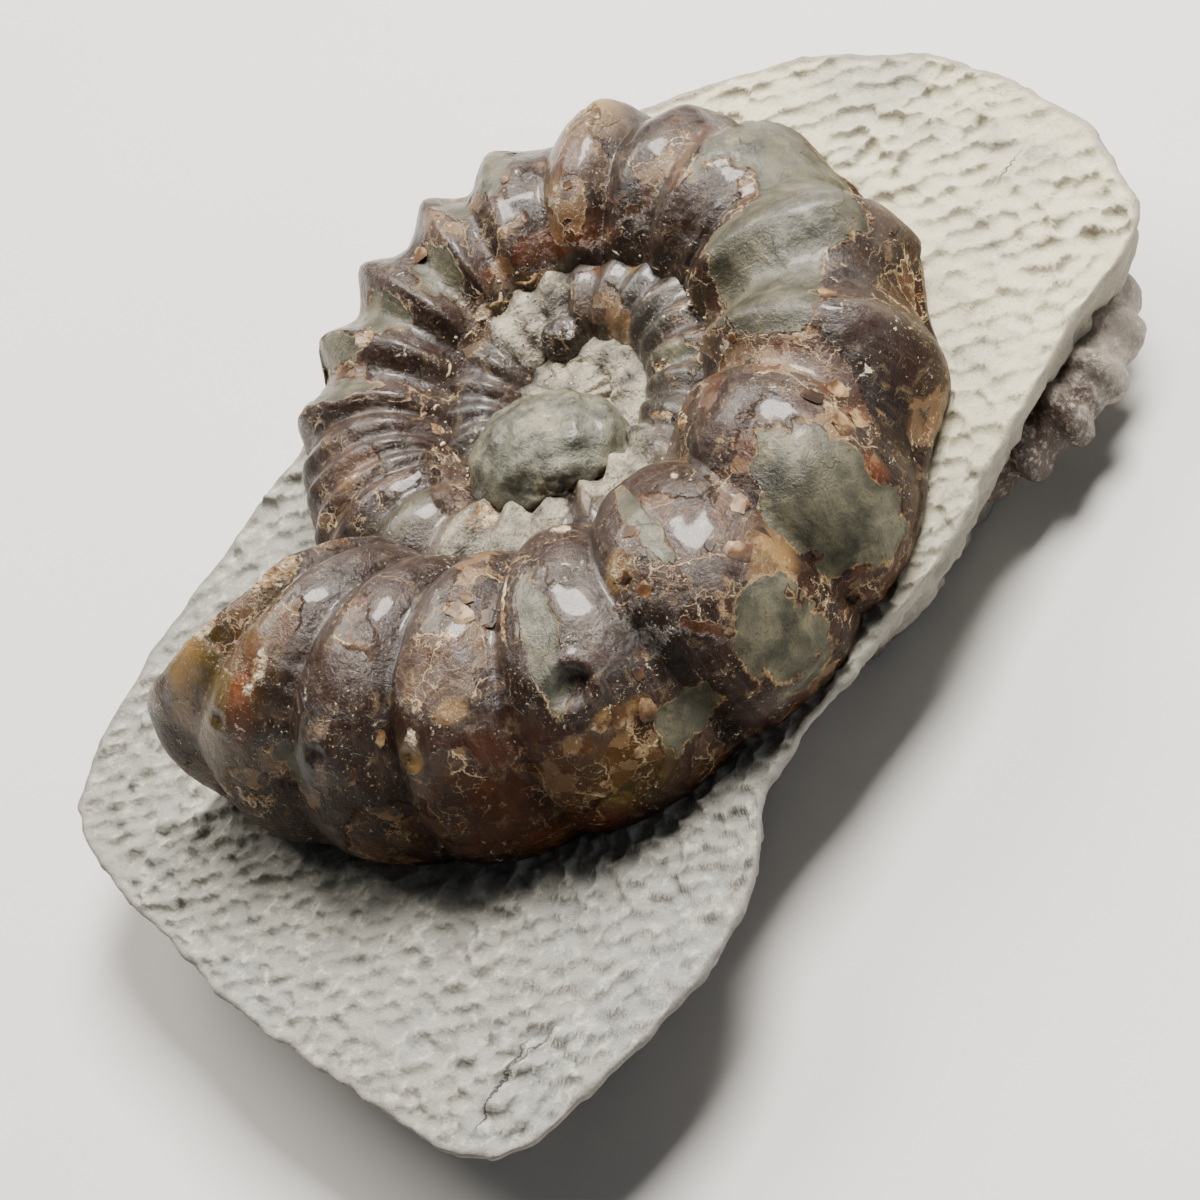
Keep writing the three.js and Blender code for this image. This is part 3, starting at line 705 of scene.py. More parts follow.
def build_cast(settings):
    points, faces = lumpy_ball(6, (0, 0, 0), (1, 1, 1), 0.0, 1.0, 0.0)
    points -= np.array((*COIL_AXIS, STONE_TOP))
    bump = 1 + 0.045 * unevenness(5 * points[:, 0], 5 * points[:, 1], 5 * points[:, 2])
    bump = bump + 0.025 * grain(points, 0.3, 3, 11.0)
    sunk = smoothstep(-points[:, 1] + 0.25 * points[:, 0] - 0.3 * points[:, 2], 0.35, 0.95)
    bump = bump - 0.09 * sunk * np.clip(grain(points, 0.14, 3, 12.0) + 0.3, 0, 1)
    turn = math.radians(CAST_BEARING)
    x, y, z = (points * bump[:, None] * np.array(CAST_HALF_SIZES)).T
    placed = np.stack([x * math.cos(turn) - y * math.sin(turn) + CAST_CENTRE[0] + COIL_AXIS[0],
                       x * math.sin(turn) + y * math.cos(turn) + CAST_CENTRE[1] + COIL_AXIS[1],
                       z + CAST_CENTRE[2] + STONE_TOP], -1)
    # The pitted side is kept as the worn attribute, which darkens the colour partly as painted shade
    return mesh_object("oval_cast", placed, faces, {"worn": sunk})


# Geometry Nodes


def new_group(name, inputs):
    """An empty geometry tree with named inputs, as a node adder and its two end nodes."""
    group = bpy.data.node_groups.new(name, "GeometryNodeTree")
    group.interface.new_socket("Geometry", in_out="INPUT", socket_type="NodeSocketGeometry")
    for label, kind, default in inputs:
        socket = group.interface.new_socket(label, in_out="INPUT", socket_type=kind)
        if default is not None:
            socket.default_value = default
    group.interface.new_socket("Geometry", in_out="OUTPUT", socket_type="NodeSocketGeometry")
    given = group.nodes.new("NodeGroupInput")
    return group, partial(add_node, group), given.outputs, group.nodes.new("NodeGroupOutput")


def close_group(group, geometry, material, output):
    """Realizes instances, sets the material and ends the tree."""
    real = add_node(group, "GeometryNodeRealizeInstances", Geometry=geometry)
    painted = add_node(group, "GeometryNodeSetMaterial", Geometry=real, Material=material)
    group.links.new(painted.outputs[0], output.inputs[0])
    return group


def grow_with(obj, group, values):
    """Runs a tree on the object with the given inputs and leaves a plain mesh object."""
    modifier = obj.modifiers.new(group.name, "NODES")
    modifier.node_group = group
    for item in group.interface.items_tree:
        if item.item_type == "SOCKET" and item.in_out == "INPUT" and item.name in values:
            modifier[item.identifier] = values[item.name]
    evaluated = obj.evaluated_get(bpy.context.evaluated_depsgraph_get())
    mesh = bpy.data.meshes.new_from_object(evaluated)
    obj.modifiers.remove(modifier)
    obj.data = mesh
    obj.data.shade_smooth()
    return obj


def ribbed_whorl_tree(material):
    """A closed ring of tube with even ribs, lengthened and tilted."""
    group, new, given, output = new_group("Ribbed whorl", [
        ("Ring radius", "NodeSocketFloat", 0.0056), ("Tube radius", "NodeSocketFloat", 0.003),
        ("Rib count", "NodeSocketInt", 14), ("Rib height", "NodeSocketFloat", 0.0005),
        ("Lengthening", "NodeSocketFloat", 1.3), ("Tilt", "NodeSocketFloat", 0.0),
        ("Centre", "NodeSocketVector", None), ("Roughening", "NodeSocketFloat", 0.0003)])
    ring = new("GeometryNodeCurvePrimitiveCircle", {"mode": "RADIUS"}, Resolution=224,
               Radius=given["Ring radius"])
    place = new("GeometryNodeSplineParameter")
    turns = new("ShaderNodeMath", {"operation": "MULTIPLY"}, _0=2 * math.pi,
                _1=given["Rib count"])
    phase = new("ShaderNodeMath", {"operation": "MULTIPLY"}, _0=place.outputs["Factor"],
                _1=turns)
    wave = new("ShaderNodeMath", {"operation": "COSINE"}, _0=phase)
    crest = new("ShaderNodeMapRange", {"interpolation_type": "SMOOTHSTEP"}, Value=wave,
                From_Min=-0.6, From_Max=1.0, To_Min=-0.5, To_Max=0.5)
    lift = new("ShaderNodeMath", {"operation": "MULTIPLY"}, _0=crest, _1=given["Rib height"])
    thickness = new("ShaderNodeMath", {"operation": "ADD"}, _0=lift, _1=given["Tube radius"])
    profile = new("GeometryNodeCurvePrimitiveCircle", {"mode": "RADIUS"}, Resolution=56,
                  Radius=1.0)
    sized = new("GeometryNodeSetCurveRadius", Curve=ring, Radius=thickness)
    tube = new("GeometryNodeCurveToMesh", Curve=sized, Profile_Curve=profile)
    if "Scale" in tube.inputs:
        radius = new("GeometryNodeInputRadius")
        group.links.new(radius.outputs[0], tube.inputs["Scale"])
    stretch = new("ShaderNodeCombineXYZ", X=given["Lengthening"], Y=1.0, Z=1.0)
    tilt = new("ShaderNodeCombineXYZ", X=given["Tilt"])
    long_ring = new("GeometryNodeTransform", Geometry=tube, Scale=stretch)
    placed = new("GeometryNodeTransform", Geometry=long_ring, Rotation=tilt,
                 Translation=given["Centre"])
    rough = new("ShaderNodeTexNoise", Scale=700.0, Detail=4.0)
    centred = new("ShaderNodeMath", {"operation": "SUBTRACT"}, _0=rough, _1=0.5)
    amount = new("ShaderNodeMath", {"operation": "MULTIPLY"}, _0=centred,
                 _1=given["Roughening"])
    normal = new("GeometryNodeInputNormal")
    offset = new("ShaderNodeVectorMath", {"operation": "SCALE"}, _0=normal.outputs[0],
                 Scale=amount)
    worn = new("GeometryNodeSetPosition", Geometry=placed, Offset=offset)
    return close_group(group, worn, material, output)


def seam_crust_tree(material):
    """An uneven bead of crust that follows a path of joined edges."""
    group, new, given, output = new_group("Seam crust", [
        ("Bead radius", "NodeSocketFloat", 0.0004), ("Point spacing", "NodeSocketFloat", 0.0003),
        ("Unevenness", "NodeSocketFloat", 0.0007), ("Seed", "NodeSocketInt", 3)])
    path = new("GeometryNodeMeshToCurve", Mesh=group_geometry(group))
    even = new("GeometryNodeResampleCurve", {"mode": "LENGTH"}, Curve=path,
               Length=given["Point spacing"])
    patchy = new("ShaderNodeTexNoise", {"noise_dimensions": "4D"}, W=given["Seed"], Scale=350.0,
                 Detail=2.0)
    amount = new("ShaderNodeMapRange", {"interpolation_type": "SMOOTHSTEP"}, Value=patchy,
                 From_Min=0.4, From_Max=0.6, To_Min=0.4, To_Max=1.4)
    radius = new("ShaderNodeMath", {"operation": "MULTIPLY"}, _0=amount,
                 _1=given["Bead radius"])
    sized = new("GeometryNodeSetCurveRadius", Curve=even, Radius=radius)
    profile = new("GeometryNodeCurvePrimitiveCircle", {"mode": "RADIUS"}, Resolution=10,
                  Radius=1.0)
    tube = new("GeometryNodeCurveToMesh", {}, Curve=sized, Profile_Curve=profile,
               Fill_Caps=True)
    if "Scale" in tube.inputs:
        group.links.new(new("GeometryNodeInputRadius").outputs[0], tube.inputs["Scale"])
    lumps = new("ShaderNodeTexNoise", Scale=900.0, Detail=4.0)
    centred = new("ShaderNodeVectorMath", {"operation": "SUBTRACT"}, _0=lumps.outputs["Color"],
                  _1=(0.5, 0.5, 0.5))
    offset = new("ShaderNodeVectorMath", {"operation": "SCALE"}, _0=centred,
                 Scale=given["Unevenness"])
    uneven = new("GeometryNodeSetPosition", Geometry=tube, Offset=offset)
    return close_group(group, uneven, material, output)


def group_geometry(group):
    """The geometry that a tree is given."""
    return next(n for n in group.nodes if n.bl_idname == "NodeGroupInput").outputs["Geometry"]


def crumbs_tree(material):
    """Small angular crumbs scattered over a surface where its `crumbly` attribute is high."""
    group, new, given, output = new_group("Crumbs", [
        ("Density", "NodeSocketFloat", 1.0e6), ("Crumb size", "NodeSocketFloat", 0.0005),
        ("Sink", "NodeSocketFloat", 0.0001), ("Seed", "NodeSocketInt", 7)])
    crumbly = new("GeometryNodeInputNamedAttribute", {"data_type": "FLOAT"}, Name="crumbly")
    density = new("ShaderNodeMath", {"operation": "MULTIPLY"}, _0=crumbly, _1=given["Density"])
    points = new("GeometryNodeDistributePointsOnFaces", Mesh=group_geometry(group),
                 Density=density, Seed=given["Seed"])
    chunk = new("GeometryNodeMeshIcoSphere", Radius=0.5, Subdivisions=2)
    lumps = new("ShaderNodeTexNoise", Scale=2.3, Detail=1.0)
    bent = new("ShaderNodeVectorMath", {"operation": "SUBTRACT"}, _0=lumps.outputs["Color"],
               _1=(0.5, 0.5, 0.5))
    broken = new("GeometryNodeSetPosition", Geometry=chunk, Offset=bent)
    spin = new("FunctionNodeRandomValue", {"data_type": "FLOAT_VECTOR"}, Min=(0, 0, 0),
               Max=(6.28, 6.28, 6.28), Seed=given["Seed"])
    share = new("FunctionNodeRandomValue", {"data_type": "FLOAT"}, Min=0.3, Max=1.0,
                Seed=given["Seed"])
    curved = new("ShaderNodeMath", {"operation": "POWER"}, _0=share, _1=1.8)
    size = new("ShaderNodeMath", {"operation": "MULTIPLY"}, _0=curved,
               _1=given["Crumb size"])
    placed = new("GeometryNodeInstanceOnPoints", Points=points, Instance=broken, Rotation=spin,
                 Scale=size)
    return close_group(group, placed, material, output)


def flakes_tree(material):
    """Thin broken plates that lie on a surface where its `flaky` attribute is high."""
    group, new, given, output = new_group("Shell flakes", [
        ("Density", "NodeSocketFloat", 1.0e6), ("Flake size", "NodeSocketFloat", 0.0018),
        ("Thickness", "NodeSocketFloat", 0.00012), ("Tilt", "NodeSocketFloat", 0.08),
        ("Seed", "NodeSocketInt", 11)])
    flaky = new("GeometryNodeInputNamedAttribute", {"data_type": "FLOAT"}, Name="flaky")
    density = new("ShaderNodeMath", {"operation": "MULTIPLY"}, _0=flaky, _1=given["Density"])
    points = new("GeometryNodeDistributePointsOnFaces", Mesh=group_geometry(group),
                 Density=density, Seed=given["Seed"])
    plate = new("GeometryNodeMeshCylinder", Vertices=7, Side_Segments=1, Fill_Segments=1,
                Radius=0.5, Depth=1.0)
    lumps = new("ShaderNodeTexWhiteNoise", {"noise_dimensions": "3D"},
                Vector=new("GeometryNodeInputPosition"))
    flat = new("ShaderNodeVectorMath", {"operation": "MULTIPLY_ADD"},
               _0=lumps.outputs["Color"], _1=(0.4, 0.4, 0.0), _2=(-0.2, -0.2, 0.0))
    broken = new("GeometryNodeSetPosition", Geometry=plate.outputs["Mesh"], Offset=flat)
    spin = new("FunctionNodeRandomValue", {"data_type": "FLOAT_VECTOR"}, Min=(0, 0, 0),
               Max=(1, 1, 6.28), Seed=given["Seed"])
    parts = new("ShaderNodeSeparateXYZ", Vector=spin)
    leans = [new("ShaderNodeMath", {"operation": "MULTIPLY_ADD"}, _0=parts.outputs[k],
                 _1=given["Tilt"], _2=-0.04) for k in (0, 1)]
    turned = new("ShaderNodeCombineXYZ", X=leans[0], Y=leans[1], Z=parts.outputs[2])
    twist = new("FunctionNodeRotateRotation", {"rotation_space": "LOCAL"},
                _0=points.outputs["Rotation"], _1=turned)
    share = new("FunctionNodeRandomValue", {"data_type": "FLOAT"}, Min=0.4, Max=1.0,
                Seed=given["Seed"])
    across = new("ShaderNodeMath", {"operation": "MULTIPLY"}, _0=share, _1=given["Flake size"])
    scale = new("ShaderNodeCombineXYZ", X=across, Y=across, Z=given["Thickness"])
    placed = new("GeometryNodeInstanceOnPoints", Points=points, Instance=broken, Rotation=twist,
                 Scale=scale)
    return close_group(group, placed, material, output)


def build_second(settings, material):
    obj = mesh_object("small_ammonite", np.zeros((1, 3)), [])
    centre = [(a + b) * MM for a, b in zip(SECOND_CENTRE, (*COIL_AXIS, STONE_TOP))]
    return grow_with(obj, ribbed_whorl_tree(material), {
        "Ring radius": SECOND_RING_RADIUS * MM, "Tube radius": SECOND_TUBE_RADIUS * MM,
        "Rib count": settings.rib_count, "Rib height": settings.rib_height,
        "Lengthening": SECOND_LENGTHENING, "Tilt": math.radians(SECOND_TILT),
        "Centre": centre, "Roughening": 0.0007})


def seam_path():
    """Path along the foot of the outer whorl's wall, drawn in and out by its ribs."""
    ribs = rib_table()
    place = np.linspace(5.0, 19.0, 500)
    angle = 146 + 5 * grain(np.stack([place, 0 * place, 0 * place], -1), 0.5, 2, 41.0)
    back, lift = coil_lift(ribs, place, angle)
    wave = 1 - np.abs(2 * (place % 1) - 1)
    return coil_points(back, angle, lift + 0.15 - 0.9 * wave)


def surface_patch(name, attribute, weight):
    """A coarse copy of the upper coil that carries a scattering density."""
    ribs = rib_table()
    place, angle = np.meshgrid(ring_places(ribs[:40], 1.2), np.linspace(-8, 172, 46),
                               indexing="ij")
    back, lift = coil_lift(ribs, place, angle)
    points = coil_points(back, angle, lift)
    faces = grid_faces(*place.shape, closed=False).tolist()
    return mesh_object(name, points.reshape(-1, 3), faces,
                       {attribute: weight(back, angle).reshape(-1)})


def crumbly(back, around):
    """Where crumbs of stone still cling: in the crusts, the seam and the inner whorls."""
    wall = smoothstep(around, 130, 150) * smoothstep(back, 60, 110)
    return np.maximum(smoothstep(crust_amount(back, around), 0.45, 0.9),
                      np.maximum(0.7 * wall, 0.8 * smoothstep(back, 580, 640)))


def flaky(back, around):
    """Where thin plates of shell lie loose: round the bare patches and in the flaked places."""
    depth = patch_depth(BARE_PATCHES, back, around)
    rim = np.exp(-((depth + 0.9) / 0.5) ** 2)
    centres = ((74, 80, 6, 12), (66, 38, 6, 8), (226, 108, 8, 16), (120, 40, 8, 24),
               (46, 100, 6, 12), (34, 45, 3, 16), (93, 62, 5, 14))
    spots = [1 - smoothstep(patch_reach(patch, back, around), 0.4, 1.2) for patch in centres]
    return np.maximum(0.35 * rim, np.max(spots, axis=0)) * (back < 360)


# Materials


def start_material(name):
    """A material, its node adder, its principled shader and the object coordinates."""
    material = bpy.data.materials.new(name)
    material.use_nodes = True
    tree = material.node_tree
    new = partial(add_node, tree)
    return material, new, tree.nodes["Principled BSDF"], new("ShaderNodeTexCoord").outputs["Object"]


def finish_material(material, shader, constants, **links):
    """Sets the shader's constant inputs and links the others."""
    for name, value in constants.items():
        shader.inputs[name].default_value = value
    for name, source in links.items():
        if isinstance(source, bpy.types.Node):
            source = next(s for s in source.outputs if s.enabled)
        material.node_tree.links.new(source, shader.inputs[name.replace("_", " ")])
    return material


def per_mm(size):
    """Texture scale whose features are about `size` millimetres wide."""
    return 1000.0 / size


MATH, MIX, NOISE = "ShaderNodeMath", "ShaderNodeMix", "ShaderNodeTexNoise"
CELLS, RANGE, READ = "ShaderNodeTexVoronoi", "ShaderNodeMapRange", "ShaderNodeAttribute"
TIMES, TIMES_ADD = {"operation": "MULTIPLY"}, {"operation": "MULTIPLY_ADD"}
COLOURS = {"data_type": "RGBA"}


def shell_material(settings):
    """Fossil shell turned to brown calcite and varnished: satin where it is whole, broken into
    thin plates of several layers elsewhere, and flaked off in places down to the grey-green
    stone that filled the chambers."""
    material, new, shader, here = start_material("brown_calcite_shell")
    tint, bare, crust, filling, chipped, polished, whorl = (
        new(READ, {"attribute_name": name}).outputs["Vector" if name == "whorl" else
                                                    "Color" if name == "tint" else "Fac"]
        for name in ("tint", "bare", "crust", "filling", "chipped", "polished", "whorl"))

    ragged = new(NOISE, Vector=here, Scale=per_mm(1.1), Detail=6.0, Roughness=0.65)
    offset = new(MATH, {"operation": "SUBTRACT"}, _0=ragged, _1=0.5)
    depth = new(MATH, TIMES_ADD, _0=offset, _1=1.6, _2=bare)
    mould = new(RANGE, Value=depth, From_Min=-0.03, From_Max=0.03)
    outside = new(RANGE, Value=depth, From_Min=-0.3, From_Max=-0.03)
    rim = new(RANGE, Value=depth, From_Min=0.07, From_Max=0.0, To_Max=outside)
    broad = new(NOISE, Vector=here, Scale=per_mm(6.0), Detail=3.0)
    mottle = new(NOISE, Vector=here, Scale=per_mm(1.6), Detail=7.0, Roughness=0.72,
                 Distortion=0.6)

    # Broken plates, large and small, each with a layer of its own, and their torn edges
    warp = new(NOISE, Vector=here, Scale=per_mm(1.5), Detail=5.0, Roughness=0.62)
    bent = new("ShaderNodeVectorMath", TIMES_ADD, _0=warp.outputs["Color"], _1=(0.0022,) * 3,
               _2=here)
    levels, torn = [], []
    for size, width in ((5.2, 0.016), (1.7, 0.03)):
        cells = new(CELLS, Vector=bent, Scale=per_mm(size))
        levels.append(new("ShaderNodeSeparateXYZ", Vector=cells.outputs["Color"]).outputs[0])
        border = new(CELLS, {"feature": "DISTANCE_TO_EDGE"}, Vector=bent, Scale=per_mm(size))
        torn.append(new(RANGE, Value=border, From_Min=width, From_Max=0.3 * width))
    layer = new(MIX, {"data_type": "FLOAT"}, Factor=0.42, A=levels[0], B=levels[1])
    broken = new(RANGE, Value=new(MATH, TIMES_ADD, _0=offset, _1=1.2, _2=chipped),
                 From_Min=0.4, From_Max=0.6)
    whole = new(MATH, {"operation": "SUBTRACT"}, _0=1.0, _1=broken)

    # Colour: clouds and growth lines on whole shell, layers of brown on the plates
    dark_share = new(RANGE, Value=broad, From_Min=0.45, From_Max=0.62, To_Max=0.6)
    colour = new(MIX, COLOURS, Factor=dark_share, A=tint, B=linear("#1b0f0a"))
    stretched = new("ShaderNodeVectorMath", {"operation": "MULTIPLY"}, _0=whorl,
                    _1=(2.4, 0.16, 1.0))
    growth = new(NOISE, Vector=stretched, Scale=1.0, Detail=5.0, Roughness=0.65, Distortion=0.3)
    line_share = new(RANGE, Value=growth, From_Min=0.5, From_Max=0.7, To_Max=0.2)
    colour = new(MIX, COLOURS, Factor=line_share, A=colour, B=linear("#6f5d50"))
    layers = new("ShaderNodeValToRGB", Fac=layer)
    stops = layers.color_ramp.elements
    stops[0].position, stops[0].color = 0.2, linear("#160c07")
    stops[1].position, stops[1].color = 0.82, linear("#866848")
    for at, value in ((0.36, "#3c2009"), (0.48, "#24160f"), (0.6, "#553213"), (0.7, "#4a3b33")):
        stops.new(at).color = linear(value)
    plate_share = new(MATH, TIMES, _0=broken, _1=0.58)
    colour = new(MIX, COLOURS, Factor=plate_share, A=colour, B=layers.outputs["Color"])
    light_share = new(RANGE, Value=mottle, From_Min=0.55, From_Max=0.72, To_Max=0.28)
    colour = new(MIX, COLOURS, Factor=light_share, A=colour, B=linear("#b0966f"))
    cream = linear(settings.flake_edge)
    gate = new(NOISE, Vector=here, Scale=per_mm(3.0), Detail=3.0)
    gated = new(RANGE, Value=gate, From_Min=0.45, From_Max=0.58)
    edges = new(MATH, {"operation": "MAXIMUM"}, _0=torn[0],
                _1=new(MATH, TIMES, _0=torn[1], _1=0.5))
    edges = new(MATH, TIMES, _0=edges, _1=new(MATH, TIMES, _0=broken, _1=gated))
    # Torn plate edges in rust to cream: partly the pale calcite of the broken layers, partly painted glints along
    # the edges
    edge_and_glint_colour = new(MIX, COLOURS, Factor=mottle, A=linear("#7d4b1a"), B=linear("#ecd8ac"))
    colour = new(MIX, COLOURS, Factor=edges, A=colour, B=edge_and_glint_colour)

    # Thin cracks in the whole shell, here cream and there dark
    cracks = new(CELLS, {"feature": "DISTANCE_TO_EDGE"}, Vector=bent, Scale=per_mm(8.0))
    cracked = new(MATH, TIMES, _0=gated, _1=whole)
    crack = new(RANGE, Value=cracks, From_Min=0.011, From_Max=0.004, To_Max=cracked)
    crack_dark = new(RANGE, Value=broad, From_Min=0.42, From_Max=0.5)
    crack_colour = new(MIX, COLOURS, Factor=crack_dark, A=linear("#a98c62"),
                       B=linear("#140b07"))
    colour = new(MIX, COLOURS, Factor=crack, A=colour, B=crack_colour)

    # Pale specks and flecks: partly calcite dust, partly painted glints of light
    dust = new(NOISE, Vector=here, Scale=per_mm(0.28), Detail=3.0, Roughness=0.6)
    dusty = new(RANGE, Value=gate, From_Min=0.4, From_Max=0.65, To_Max=0.8)
    dust_share = new(RANGE, Value=dust, From_Min=0.63, From_Max=0.69, To_Max=dusty)
    colour = new(MIX, COLOURS, Factor=dust_share, A=colour, B=linear("#cdb990"))
    fleck = new(NOISE, Vector=bent, Scale=per_mm(0.8), Detail=5.0, Roughness=0.7)
    flecked = new(RANGE, Value=broad, From_Min=0.45, From_Max=0.6, To_Max=0.85)
    fleck_glint_share = new(RANGE, Value=fleck, From_Min=0.63, From_Max=0.67, To_Max=flecked)
    colour = new(MIX, COLOURS, Factor=fleck_glint_share, A=colour, B=linear("#e2d5b8"))

    # Stone filling where the shell is gone
    cloud = new(NOISE, Vector=here, Scale=per_mm(3.2), Detail=6.0, Roughness=0.66)
    cloud_share = new(RANGE, Value=cloud, From_Min=0.36, From_Max=0.64)
    mould_colour = new(MIX, COLOURS, Factor=cloud_share, A=linear(settings.mould_dark),
                       B=linear(settings.mould_light))
    stain_share = new(RANGE, Value=mottle, From_Min=0.5, From_Max=0.66, To_Max=0.5)
    mould_colour = new(MIX, COLOURS, Factor=stain_share, A=mould_colour, B=linear("#7a7156"))
    speck = new(NOISE, Vector=here, Scale=per_mm(0.4), Detail=3.0)
    speck_share = new(RANGE, Value=speck, From_Min=0.56, From_Max=0.7, To_Max=0.6)
    mould_colour = new(MIX, COLOURS, Factor=speck_share, A=mould_colour, B=linear("#34352a"))
    colour = new(MIX, COLOURS, Factor=mould, A=colour, B=mould_colour)
    rim_share = new(RANGE, Value=mottle, From_Min=0.42, From_Max=0.6, To_Min=0.1, To_Max=0.8)
    rim_share = new(MATH, TIMES, _0=rim_share, _1=rim)
    colour = new(MIX, COLOURS, Factor=rim_share, A=colour, B=cream)

    # Crumbled filling over the inner whorls, and crusts in white, cream and rust
    loose = new(MATH, TIMES_ADD, _0=offset, _1=1.1, _2=filling)
    crumbled = new(RANGE, Value=loose, From_Min=0.42, From_Max=0.6)
    buff = new(MIX, COLOURS, Factor=cloud_share, A=linear("#35312a"), B=linear("#a89f8c"))
    buff = new(MIX, COLOURS, Factor=speck_share, A=buff, B=linear("#241e18"))
    buff = new(MIX, COLOURS, Factor=dust_share, A=buff, B=linear("#d9d3c2"))
    colour = new(MIX, COLOURS, Factor=crumbled, A=colour, B=buff)
    laid = new(MATH, TIMES_ADD, _0=offset, _1=1.5, _2=crust)
    crusted = new(RANGE, Value=laid, From_Min=0.6, From_Max=0.72)
    crust_colour = new("ShaderNodeValToRGB", Fac=mottle)
    stops = crust_colour.color_ramp.elements
    stops[0].position, stops[0].color = 0.38, linear("#5f3a1c")
    stops[1].position, stops[1].color = 0.62, linear("#cfc5ae")
    stops.new(0.48).color = linear("#937650")
    colour = new(MIX, COLOURS, Factor=crusted, A=colour, B=crust_colour.outputs["Color"])

    polish = new(RANGE, Value=mottle, From_Min=0.3, From_Max=0.75, To_Min=settings.gloss,
                 To_Max=settings.gloss + 0.25)
    dull = new(MATH, {"operation": "MAXIMUM"}, _0=crusted, _1=crumbled)
    polish = new(MIX, {"data_type": "FLOAT"}, Factor=mould, A=polish, B=0.34)
    polish = new(MIX, {"data_type": "FLOAT"}, Factor=dull, A=polish, B=0.55)
    varnish = new(MATH, TIMES_ADD, _0=mould, _1=0.5, _2=dull)
    varnish = new(RANGE, Value=varnish, To_Min=0.35, To_Max=0.0)
    shine = new(RANGE, Value=polished, To_Min=0.1, To_Max=0.6)
    varnish = new(MATH, TIMES, _0=varnish, _1=polished)

    # Relief: the steps of the plates, then the finer unevenness
    plated = new(MATH, TIMES_ADD, _0=levels[0], _1=2.0, _2=levels[1])
    plated = new(MATH, TIMES, _0=plated, _1=broken)
    fine = new(NOISE, Vector=here, Scale=per_mm(0.5), Detail=4.0, Roughness=0.65)
    height = new(MATH, TIMES, _0=mould, _1=-0.2)
    for source, amount in ((plated, 0.17), (edges, 0.08), (rim, 0.06), (crack, -0.1),
                           (growth, 0.05), (fine, 0.13), (mottle, 0.24), (cloud, 0.12),
                           (dust_share, 0.05), (crusted, 0.1)):
        height = new(MATH, TIMES_ADD, _0=source, _1=amount, _2=height)
    grit = new(MATH, TIMES, _0=speck, _1=dull)
    height = new(MATH, TIMES_ADD, _0=grit, _1=0.4, _2=height)
    bump = new("ShaderNodeBump", Strength=0.85, Distance=MM, Height=height)
    return finish_material(material, shader, {"Coat IOR": 1.4, "Coat Roughness": 0.1},
                           Base_Color=colour, Roughness=polish, Specular_IOR_Level=shine,
                           Coat_Weight=varnish, Normal=bump)


# Cracks in the limestone's face: two ends of each, in the frame
STONE_CRACKS = (((42.9, -11.2), (38.6, -11.0)), ((-36.1, -23.8), (-45.0, -25.0)),
                ((-34.3, -25.5), (-40.0, -24.0)))


